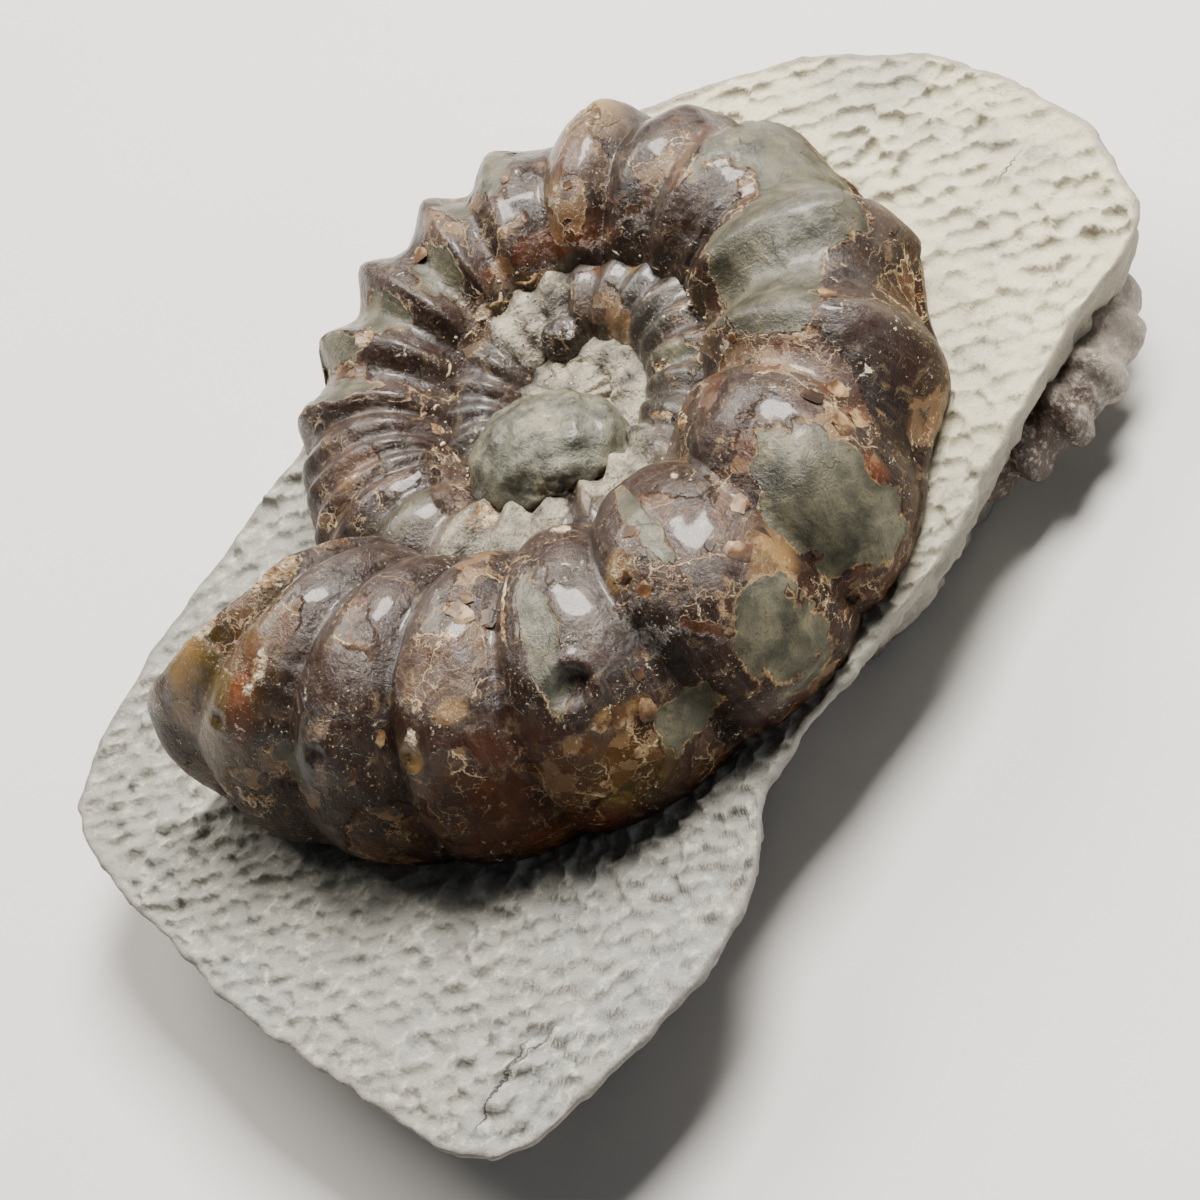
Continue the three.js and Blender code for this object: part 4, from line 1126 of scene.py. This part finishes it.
def limestone_material(settings):
    """Fine-grained limestone worked with an air chisel: matt and pale, dusty on the ridges, with
    painted shade darkening the steep end of each stroke."""
    material, new, shader, here = start_material("tooled_limestone")
    cavity = new(READ, {"attribute_name": "cavity"}).outputs["Fac"]
    tooled = new(READ, {"attribute_name": "tooled"}).outputs["Fac"]
    axes = new("ShaderNodeSeparateXYZ", Vector=here)
    cloud = new(NOISE, Vector=here, Scale=per_mm(9.0), Detail=5.0)
    # Greyer and darker towards the mouth end: partly the stone's own tone, partly painted shade where the light
    # falls off
    spread = new(MATH, TIMES_ADD, _0=cloud, _1=0.03, _2=axes.outputs[0])
    warm = new(RANGE, {"interpolation_type": "SMOOTHSTEP"}, Value=spread, From_Min=0.0,
               From_Max=0.045)
    colour = new(MIX, COLOURS, Factor=warm, A=linear(settings.cool), B=linear(settings.warm))
    grey_share = new(RANGE, Value=cloud, From_Min=0.5, From_Max=0.66, To_Max=0.5)
    colour = new(MIX, COLOURS, Factor=grey_share, A=colour, B=linear("#8f9190"))
    grit = new(NOISE, Vector=here, Scale=per_mm(0.32), Detail=5.0, Roughness=0.75)
    patchy = new(NOISE, Vector=here, Scale=per_mm(3.5), Detail=3.0, Roughness=0.6)
    gritty = new(RANGE, Value=patchy, From_Min=0.42, From_Max=0.62, To_Min=0.15, To_Max=0.75)
    grit_share = new(RANGE, Value=grit, From_Min=0.53, From_Max=0.65, To_Max=gritty)
    colour = new(MIX, COLOURS, Factor=grit_share, A=colour, B=linear("#67665f"))
    dust = new(NOISE, Vector=here, Scale=per_mm(1.2), Detail=5.0, Roughness=0.68)
    dust_share = new(RANGE, Value=dust, From_Min=0.52, From_Max=0.68, To_Max=0.5)
    colour = new(MIX, COLOURS, Factor=dust_share, A=colour, B=linear("#d9d5c6"))
    # Painted shade in the steep end of each stroke, varied by the dust noise
    shade_amount = new(MATH, TIMES_ADD, _0=dust, _1=0.5, _2=cavity)
    painted_shade_share = new(RANGE, Value=shade_amount, From_Min=0.35, From_Max=1.1, To_Max=0.75)
    colour = new(MIX, COLOURS, Factor=painted_shade_share, A=colour, B=linear("#55534a"))
    raw_share = new(RANGE, Value=tooled, From_Min=0.9, From_Max=0.0, To_Max=0.7)
    colour = new(MIX, COLOURS, Factor=raw_share, A=colour, B=linear("#75706a"))

    wander = new(MATH, TIMES_ADD, _0=dust, _1=0.0016, _2=-0.0008)
    cracked = None
    for start, end in STONE_CRACKS:
        start, end = np.array(start), np.array(end)
        length = np.linalg.norm(end - start)
        run = (end - start) / length
        beside = new("ShaderNodeVectorMath", {"operation": "DOT_PRODUCT"}, _0=here,
                     _1=(-run[1], run[0], 0.1)).outputs["Value"]
        beside = new(MATH, {"operation": "ADD"}, _0=beside, _1=wander)
        offset = MM * float(start @ (-run[1], run[0])) + 0.1 * MM * STONE_TOP
        beside = new(MATH, {"operation": "SUBTRACT"}, _0=beside, _1=offset)
        gap = new(MATH, {"operation": "ABSOLUTE"}, _0=beside)
        along = new("ShaderNodeVectorMath", {"operation": "DOT_PRODUCT"}, _0=here,
                    _1=(*run, 0.0)).outputs["Value"]
        middle = MM * float((start + end) / 2 @ run)
        past = new(MATH, {"operation": "ABSOLUTE"},
                   _0=new(MATH, {"operation": "SUBTRACT"}, _0=along, _1=middle))
        there = new(RANGE, Value=past, From_Min=MM * length / 2, From_Max=MM * (length / 2 - 2))
        line = new(RANGE, Value=gap, From_Min=0.00014, From_Max=0.00004, To_Max=there)
        cracked = line if cracked is None else new(MATH, {"operation": "MAXIMUM"}, _0=cracked,
                                                   _1=line)
    crack_share = new(MATH, TIMES, _0=cracked, _1=0.85)
    colour = new(MIX, COLOURS, Factor=crack_share, A=colour, B=linear("#3b3933"))
    height = new(MATH, TIMES, _0=grit, _1=0.14)
    for source, amount in ((dust, 0.28), (patchy, 0.2), (cracked, -0.2)):
        height = new(MATH, TIMES_ADD, _0=source, _1=amount, _2=height)
    bump = new("ShaderNodeBump", Strength=0.9, Distance=MM, Height=height)
    return finish_material(material, shader, {"Roughness": 0.88, "Specular IOR Level": 0.3},
                           Base_Color=colour, Normal=bump)


def cast_material(settings):
    """Hardened grey-green mud in the shape of a pebble: satin, mottled and pitted at one side, which is darkened
    partly by painted shade.
    """
    material, new, shader, here = start_material("hardened_mud_cast")
    worn = new(READ, {"attribute_name": "worn"}).outputs["Fac"]
    cloud = new(NOISE, Vector=here, Scale=per_mm(2.4), Detail=6.0, Roughness=0.7)
    cloud_share = new(RANGE, Value=cloud, From_Min=0.38, From_Max=0.62)
    colour = new(MIX, COLOURS, Factor=cloud_share, A=linear("#383830"), B=linear("#737263"))
    tan = new(NOISE, Vector=here, Scale=per_mm(3.0), Detail=5.0, Roughness=0.7)
    tan_share = new(RANGE, Value=tan, From_Min=0.52, From_Max=0.64, To_Max=0.6)
    colour = new(MIX, COLOURS, Factor=tan_share, A=colour, B=linear("#8e8468"))
    speck = new(NOISE, Vector=here, Scale=per_mm(0.45), Detail=4.0, Roughness=0.75)
    speck_share = new(RANGE, Value=speck, From_Min=0.53, From_Max=0.68, To_Max=0.75)
    colour = new(MIX, COLOURS, Factor=speck_share, A=colour, B=linear("#2f2f27"))
    # Darker on the pitted side: partly the pits' own colour, partly painted shade
    pit_and_shade_share = new(RANGE, Value=cloud, From_Min=0.42, From_Max=0.58, To_Min=0.35, To_Max=0.95)
    pit_and_shade_share = new(MATH, TIMES, _0=pit_and_shade_share, _1=worn)
    colour = new(MIX, COLOURS, Factor=pit_and_shade_share, A=colour, B=linear("#2b2720"))
    height = new(MATH, TIMES, _0=speck, _1=0.16)
    height = new(MATH, TIMES_ADD, _0=cloud, _1=0.3, _2=height)
    bump = new("ShaderNodeBump", Strength=0.85, Distance=MM, Height=height)
    return finish_material(material, shader, {"Roughness": settings.roughness,
                                              "Coat Weight": 0.15}, Base_Color=colour,
                           Normal=bump)


def worn_shell_material(settings):
    """Shell of the small ammonite: brown at one end and paler cream towards the other, in clouds, with pale
    specks.
    """
    material, new, shader, here = start_material("weathered_shell")
    axes = new("ShaderNodeSeparateXYZ", Vector=here)
    cloud = new(NOISE, Vector=here, Scale=per_mm(2.4), Detail=6.0, Roughness=0.7)
    # Paler along the x axis across the whole shell
    raised = new(RANGE, Value=axes.outputs[0], From_Min=0.02, From_Max=0.036, To_Min=-0.3,
                 To_Max=0.3)
    pale = new(MATH, {"operation": "ADD"}, _0=cloud, _1=raised)
    pale_share = new(RANGE, Value=pale, From_Min=0.4, From_Max=0.6)
    colour = new(MIX, COLOURS, Factor=pale_share, A=linear("#35241a"), B=linear("#7f766c"))
    speck = new(NOISE, Vector=here, Scale=per_mm(0.6), Detail=4.0, Roughness=0.7)
    speck_share = new(RANGE, Value=speck, From_Min=0.52, From_Max=0.72, To_Max=0.7)
    colour = new(MIX, COLOURS, Factor=speck_share, A=colour, B=linear("#b3aa9a"))
    height = new(MATH, TIMES, _0=speck, _1=0.25)
    height = new(MATH, TIMES_ADD, _0=cloud, _1=0.2, _2=height)
    bump = new("ShaderNodeBump", Strength=0.9, Distance=MM, Height=height)
    return finish_material(material, shader, {"Roughness": 0.48}, Base_Color=colour,
                           Normal=bump)


def crumb_material(settings):
    """Loose crumbs and beads of stone and calcite: chalky white, cream and rusty brown."""
    material, new, shader, here = start_material("chalky_calcite_crust")
    cloud = new(NOISE, Vector=here, Scale=per_mm(2.0), Detail=4.0, Roughness=0.7)
    ramp = new("ShaderNodeValToRGB", Fac=cloud)
    stops = ramp.color_ramp.elements
    stops[0].position, stops[0].color = 0.36, linear("#5d3d20")
    stops[1].position, stops[1].color = 0.66, linear("#cfc7b4")
    stops.new(0.5).color = linear("#93805c")
    speck = new(NOISE, Vector=here, Scale=per_mm(0.3), Detail=3.0)
    height = new(MATH, TIMES, _0=speck, _1=0.2)
    bump = new("ShaderNodeBump", Strength=0.8, Distance=MM, Height=height)
    return finish_material(material, shader, {"Roughness": 0.75},
                           Base_Color=ramp.outputs["Color"], Normal=bump)


def flake_material(settings):
    """Broken plates of shell: translucent-looking tan to brown calcite, glossy on top."""
    material, new, shader, here = start_material("tan_calcite_flakes")
    cloud = new(NOISE, Vector=here, Scale=per_mm(2.6), Detail=4.0, Roughness=0.6)
    ramp = new("ShaderNodeValToRGB", Fac=cloud)
    stops = ramp.color_ramp.elements
    stops[0].position, stops[0].color = 0.38, linear("#24150c")
    stops[1].position, stops[1].color = 0.66, linear("#a08660")
    stops.new(0.5).color = linear("#4f341d")
    fine = new(NOISE, Vector=here, Scale=per_mm(0.5), Detail=3.0)
    height = new(MATH, TIMES, _0=fine, _1=0.08)
    bump = new("ShaderNodeBump", Strength=0.7, Distance=MM, Height=height)
    return finish_material(material, shader, {"Roughness": 0.5, "Specular IOR Level": 0.35},
                           Base_Color=ramp.outputs["Color"], Normal=bump)


# Stage


def camera_axes():
    """Right, up and back directions of the camera."""
    tilt, turn, roll = (math.radians(a) for a in (CAMERA_TILT, CAMERA_TURN, CAMERA_ROLL))
    level = Vector((math.cos(turn), math.sin(turn), 0))
    ahead = Vector((-math.sin(turn), math.cos(turn), 0))
    back = -ahead * math.sin(tilt) + Vector((0, 0, math.cos(tilt)))
    rise = back.cross(level)
    right = level * math.cos(roll) - rise * math.sin(roll)
    up = level * math.sin(roll) + rise * math.cos(roll)
    return right, up, back


def soft_light(name, target, direction, distance, size, power, colour):
    """A square soft light that faces the target."""
    data = bpy.data.lights.new(name, "AREA")
    data.shape = "SQUARE"
    data.size = size
    data.energy = power
    data.color = linear(colour)[:3]
    obj = bpy.data.objects.new(name, data)
    bpy.context.scene.collection.objects.link(obj)
    obj.location = target + direction.normalized() * distance
    obj.rotation_euler = direction.to_track_quat("Z", "Y").to_euler()
    return obj


def floor_material(settings):
    """Matt painted board: plain, pale and even."""
    material, new, shader, here = start_material("matt_painted_board")
    paint = new(NOISE, Vector=here, Scale=per_mm(40.0), Detail=2.0)
    colour = new(MIX, COLOURS, Factor=paint, A=linear(settings.floor), B=linear("#d4d3d1"))
    return finish_material(material, shader, {"Roughness": 0.85}, Base_Color=colour)


def build_stage(settings):
    scene = bpy.context.scene
    right, up, back = camera_axes()
    target = Vector(CAMERA_TARGET) * MM
    data = bpy.data.cameras.new("photo_camera")
    data.sensor_width = 36.0
    data.lens = CAMERA_LENS
    data.clip_start = 0.01
    camera = bpy.data.objects.new("photo_camera", data)
    scene.collection.objects.link(camera)
    place = Matrix((right, up, back)).transposed().to_4x4()
    place.translation = target + back * CAMERA_DISTANCE * MM
    camera.matrix_world = place
    scene.camera = camera

    soft_light("window_light", target, -0.05 * right + 1.0 * up + 0.68 * back, 0.6, 0.22,
               settings.key_power, "#fffaf2")
    soft_light("side_fill", target, 1.0 * right + 0.2 * up + 0.6 * back, 0.7, 0.35,
               settings.fill_power, "#eef3ff")
    soft_light("sheen_light", target, -0.68 * right + 0.71 * up + 0.19 * back, 0.6, 0.32,
               settings.sheen_power, "#fff8ee")
    world = bpy.data.worlds.new("studio_air")
    world.use_nodes = True
    world.node_tree.nodes["Background"].inputs["Color"].default_value = linear("#dfe3ea")
    world.node_tree.nodes["Background"].inputs["Strength"].default_value = 0.075
    scene.world = world

    half = 1.5
    floor = bpy.data.meshes.new("studio_floor")
    floor.from_pydata([(-half, -half, 0), (half, -half, 0), (half, half, 0), (-half, half, 0)],
                      [], [(0, 1, 2, 3)])
    floor_object = bpy.data.objects.new("studio_floor", floor)
    scene.collection.objects.link(floor_object)
    floor_object.location.z = -0.00005
    floor.materials.append(floor_material(settings))


# Settings


class CoilSettings(bpy.types.PropertyGroup):
    """Sizes and colours of the large coil."""

    ring_spacing: bpy.props.FloatProperty(
        name="Ring spacing", description="Distance between mesh rings along the coil",
        default=0.43 * MM, unit="LENGTH")
    gloss: bpy.props.FloatProperty(
        name="Polish", description="Lowest roughness of the shell", default=0.22, min=0, max=1,
        subtype="FACTOR")
    mould_dark: bpy.props.StringProperty(
        name="Mould, dark", description="Darker colour of the bare stone filling",
        default="#2e2d23")
    mould_light: bpy.props.StringProperty(
        name="Mould, light", description="Lighter colour of the bare stone filling",
        default="#605d4d")
    flake_edge: bpy.props.StringProperty(
        name="Flake edge", description="Colour where the shell is broken", default="#b99a6c")


class CrustSettings(bpy.types.PropertyGroup):
    """Crumbs, beads of crust and flakes on the coil."""

    crumb_size: bpy.props.FloatProperty(
        name="Crumb size", description="Width of the largest crumbs", default=0.32 * MM,
        unit="LENGTH")
    crumb_density: bpy.props.FloatProperty(
        name="Crumb density", description="Crumbs to a square metre", default=3.6e6)
    bead_radius: bpy.props.FloatProperty(
        name="Bead radius", description="Thickness of the crust along the seam",
        default=0.17 * MM, unit="LENGTH")
    flake_size: bpy.props.FloatProperty(
        name="Flake size", description="Width of the largest plates", default=1.9 * MM,
        unit="LENGTH")
    flake_density: bpy.props.FloatProperty(
        name="Flake density", description="Plates to a square metre", default=1.1e5)
    seed: bpy.props.IntProperty(name="Seed", description="Arrangement", default=7)


class StoneSettings(bpy.types.PropertyGroup):
    """Sizes and colours of the limestone."""

    sectors: bpy.props.IntProperty(
        name="Sectors", description="Mesh columns round the stone", default=880, min=64)
    mark_pitch: bpy.props.FloatProperty(
        name="Stroke pitch", description="Distance between tool strokes", default=2.1 * MM,
        unit="LENGTH")
    mark_depth: bpy.props.FloatProperty(
        name="Stroke depth", description="Depth of a tool stroke", default=1.2 * MM,
        unit="LENGTH")
    seed: bpy.props.IntProperty(
        name="Seed", description="Arrangement of the strokes", default=4)
    cool: bpy.props.StringProperty(
        name="Cool side", description="Colour towards the mouth", default="#92918a")
    warm: bpy.props.StringProperty(
        name="Warm side", description="Colour at the far end", default="#cdc6aa")


class CastSettings(bpy.types.PropertyGroup):
    """Finish of the cast in the umbilicus."""

    roughness: bpy.props.FloatProperty(
        name="Roughness", description="Roughness of the satin face", default=0.42, min=0, max=1,
        subtype="FACTOR")


class SecondSettings(bpy.types.PropertyGroup):
    """Sizes of the small ammonite."""

    rib_count: bpy.props.IntProperty(
        name="Ribs", description="Ribs round the whole ring", default=SECOND_RIB_COUNT)
    rib_height: bpy.props.FloatProperty(
        name="Rib height", description="How far a rib stands out", default=0.9 * MM,
        unit="LENGTH")


class StageSettings(bpy.types.PropertyGroup):
    """Floor and lights."""

    floor: bpy.props.StringProperty(
        name="Floor", description="Colour of the floor", default="#dddcda")
    key_power: bpy.props.FloatProperty(
        name="Window light", description="Power of the main soft light", default=11.5,
        unit="POWER")
    sheen_power: bpy.props.FloatProperty(
        name="Sheen light", description="Power of the light that the shell mirrors",
        default=4.2, unit="POWER")
    fill_power: bpy.props.FloatProperty(
        name="Fill light", description="Power of the side lights", default=1.1, unit="POWER")


# Operators


class AMMONITE_OT_stone(bpy.types.Operator):
    """Build the prepared block of limestone"""
    bl_idname = "ammonite.stone"
    bl_label = "Limestone"

    def execute(self, context):
        settings = context.scene.ammonite_stone
        obj = build_stone(settings)
        finish_piece(obj, "matrix_stone", limestone_material(settings))
        return {"FINISHED"}


class AMMONITE_OT_coil(bpy.types.Operator):
    """Build the large ribbed coil"""
    bl_idname = "ammonite.coil"
    bl_label = "Large ammonite"

    def execute(self, context):
        settings = context.scene.ammonite_coil
        obj = build_coil(settings)
        finish_piece(obj, "ammonite", shell_material(settings))
        return {"FINISHED"}


class AMMONITE_OT_crumbs(bpy.types.Operator):
    """Scatter crumbs of stone over the crusted places of the coil"""
    bl_idname = "ammonite.crumbs"
    bl_label = "Crumbs"

    def execute(self, context):
        settings = context.scene.ammonite_crust
        material = crumb_material(settings)
        obj = surface_patch("clinging_crumbs", "crumbly", crumbly)
        grow_with(obj, crumbs_tree(material), {
            "Density": settings.crumb_density, "Crumb size": settings.crumb_size,
            "Seed": settings.seed})
        finish_piece(obj, "ammonite", material)
        return {"FINISHED"}


class AMMONITE_OT_seam(bpy.types.Operator):
    """Lay the bead of crust along the foot of the outer whorl"""
    bl_idname = "ammonite.seam"
    bl_label = "Seam crust"

    def execute(self, context):
        settings = context.scene.ammonite_crust
        material = crumb_material(settings)
        path = seam_path()
        obj = mesh_object("seam_crust", path, [])
        obj.data.clear_geometry()
        obj.data.from_pydata((path * MM).tolist(), [(k, k + 1) for k in range(len(path) - 1)], [])
        grow_with(obj, seam_crust_tree(material), {
            "Bead radius": settings.bead_radius, "Seed": settings.seed})
        finish_piece(obj, "ammonite", material)
        return {"FINISHED"}


class AMMONITE_OT_flakes(bpy.types.Operator):
    """Lay thin broken plates of shell round the bare patches"""
    bl_idname = "ammonite.flakes"
    bl_label = "Shell flakes"

    def execute(self, context):
        settings = context.scene.ammonite_crust
        material = flake_material(settings)
        obj = surface_patch("loose_flakes", "flaky", flaky)
        grow_with(obj, flakes_tree(material), {
            "Density": settings.flake_density, "Flake size": settings.flake_size,
            "Seed": settings.seed})
        obj.data.shade_flat()
        finish_piece(obj, "ammonite", material)
        return {"FINISHED"}


class AMMONITE_OT_cast(bpy.types.Operator):
    """Build the oval cast in the umbilicus"""
    bl_idname = "ammonite.cast"
    bl_label = "Oval cast"

    def execute(self, context):
        settings = context.scene.ammonite_cast
        obj = build_cast(settings)
        finish_piece(obj, "umbilicus_cast", cast_material(settings))
        return {"FINISHED"}


class AMMONITE_OT_second(bpy.types.Operator):
    """Build the small ammonite under the stone's edge"""
    bl_idname = "ammonite.second"
    bl_label = "Small ammonite"

    def execute(self, context):
        settings = context.scene.ammonite_second
        material = worn_shell_material(settings)
        obj = build_second(settings, material)
        finish_piece(obj, "second_ammonite", material)
        return {"FINISHED"}


class AMMONITE_OT_stage(bpy.types.Operator):
    """Set up the floor, lights and camera"""
    bl_idname = "ammonite.stage"
    bl_label = "Stage"

    def execute(self, context):
        build_stage(context.scene.ammonite_stage)
        return {"FINISHED"}


class AMMONITE_PT_panel(bpy.types.Panel):
    """Lists the pieces of the fossil"""
    bl_label = "Ammonite on matrix stone"
    bl_space_type = "VIEW_3D"
    bl_region_type = "UI"
    bl_category = "Ammonite"

    def draw(self, context):
        for operator in OPERATORS:
            self.layout.operator(operator.bl_idname)
        for name, kind in SETTINGS.items():
            box = self.layout.box()
            for prop in kind.__annotations__:
                box.prop(getattr(context.scene, name), prop)


SETTINGS = {
    "ammonite_stone": StoneSettings,
    "ammonite_coil": CoilSettings,
    "ammonite_crust": CrustSettings,
    "ammonite_cast": CastSettings,
    "ammonite_second": SecondSettings,
    "ammonite_stage": StageSettings,
}
OPERATORS = (AMMONITE_OT_stone, AMMONITE_OT_coil, AMMONITE_OT_crumbs, AMMONITE_OT_seam,
             AMMONITE_OT_flakes, AMMONITE_OT_cast, AMMONITE_OT_second, AMMONITE_OT_stage)


def register():
    for kind in (*SETTINGS.values(), *OPERATORS, AMMONITE_PT_panel):
        bpy.utils.register_class(kind)
    for name, kind in SETTINGS.items():
        setattr(bpy.types.Scene, name, bpy.props.PointerProperty(type=kind))


def unregister():
    for name in SETTINGS:
        delattr(bpy.types.Scene, name)
    for kind in reversed((*SETTINGS.values(), *OPERATORS, AMMONITE_PT_panel)):
        bpy.utils.unregister_class(kind)


def main():
    register()
    for operator in OPERATORS:
        group, name = operator.bl_idname.split(".")
        getattr(getattr(bpy.ops, group), name)()


if __name__ == "__main__":
    main()
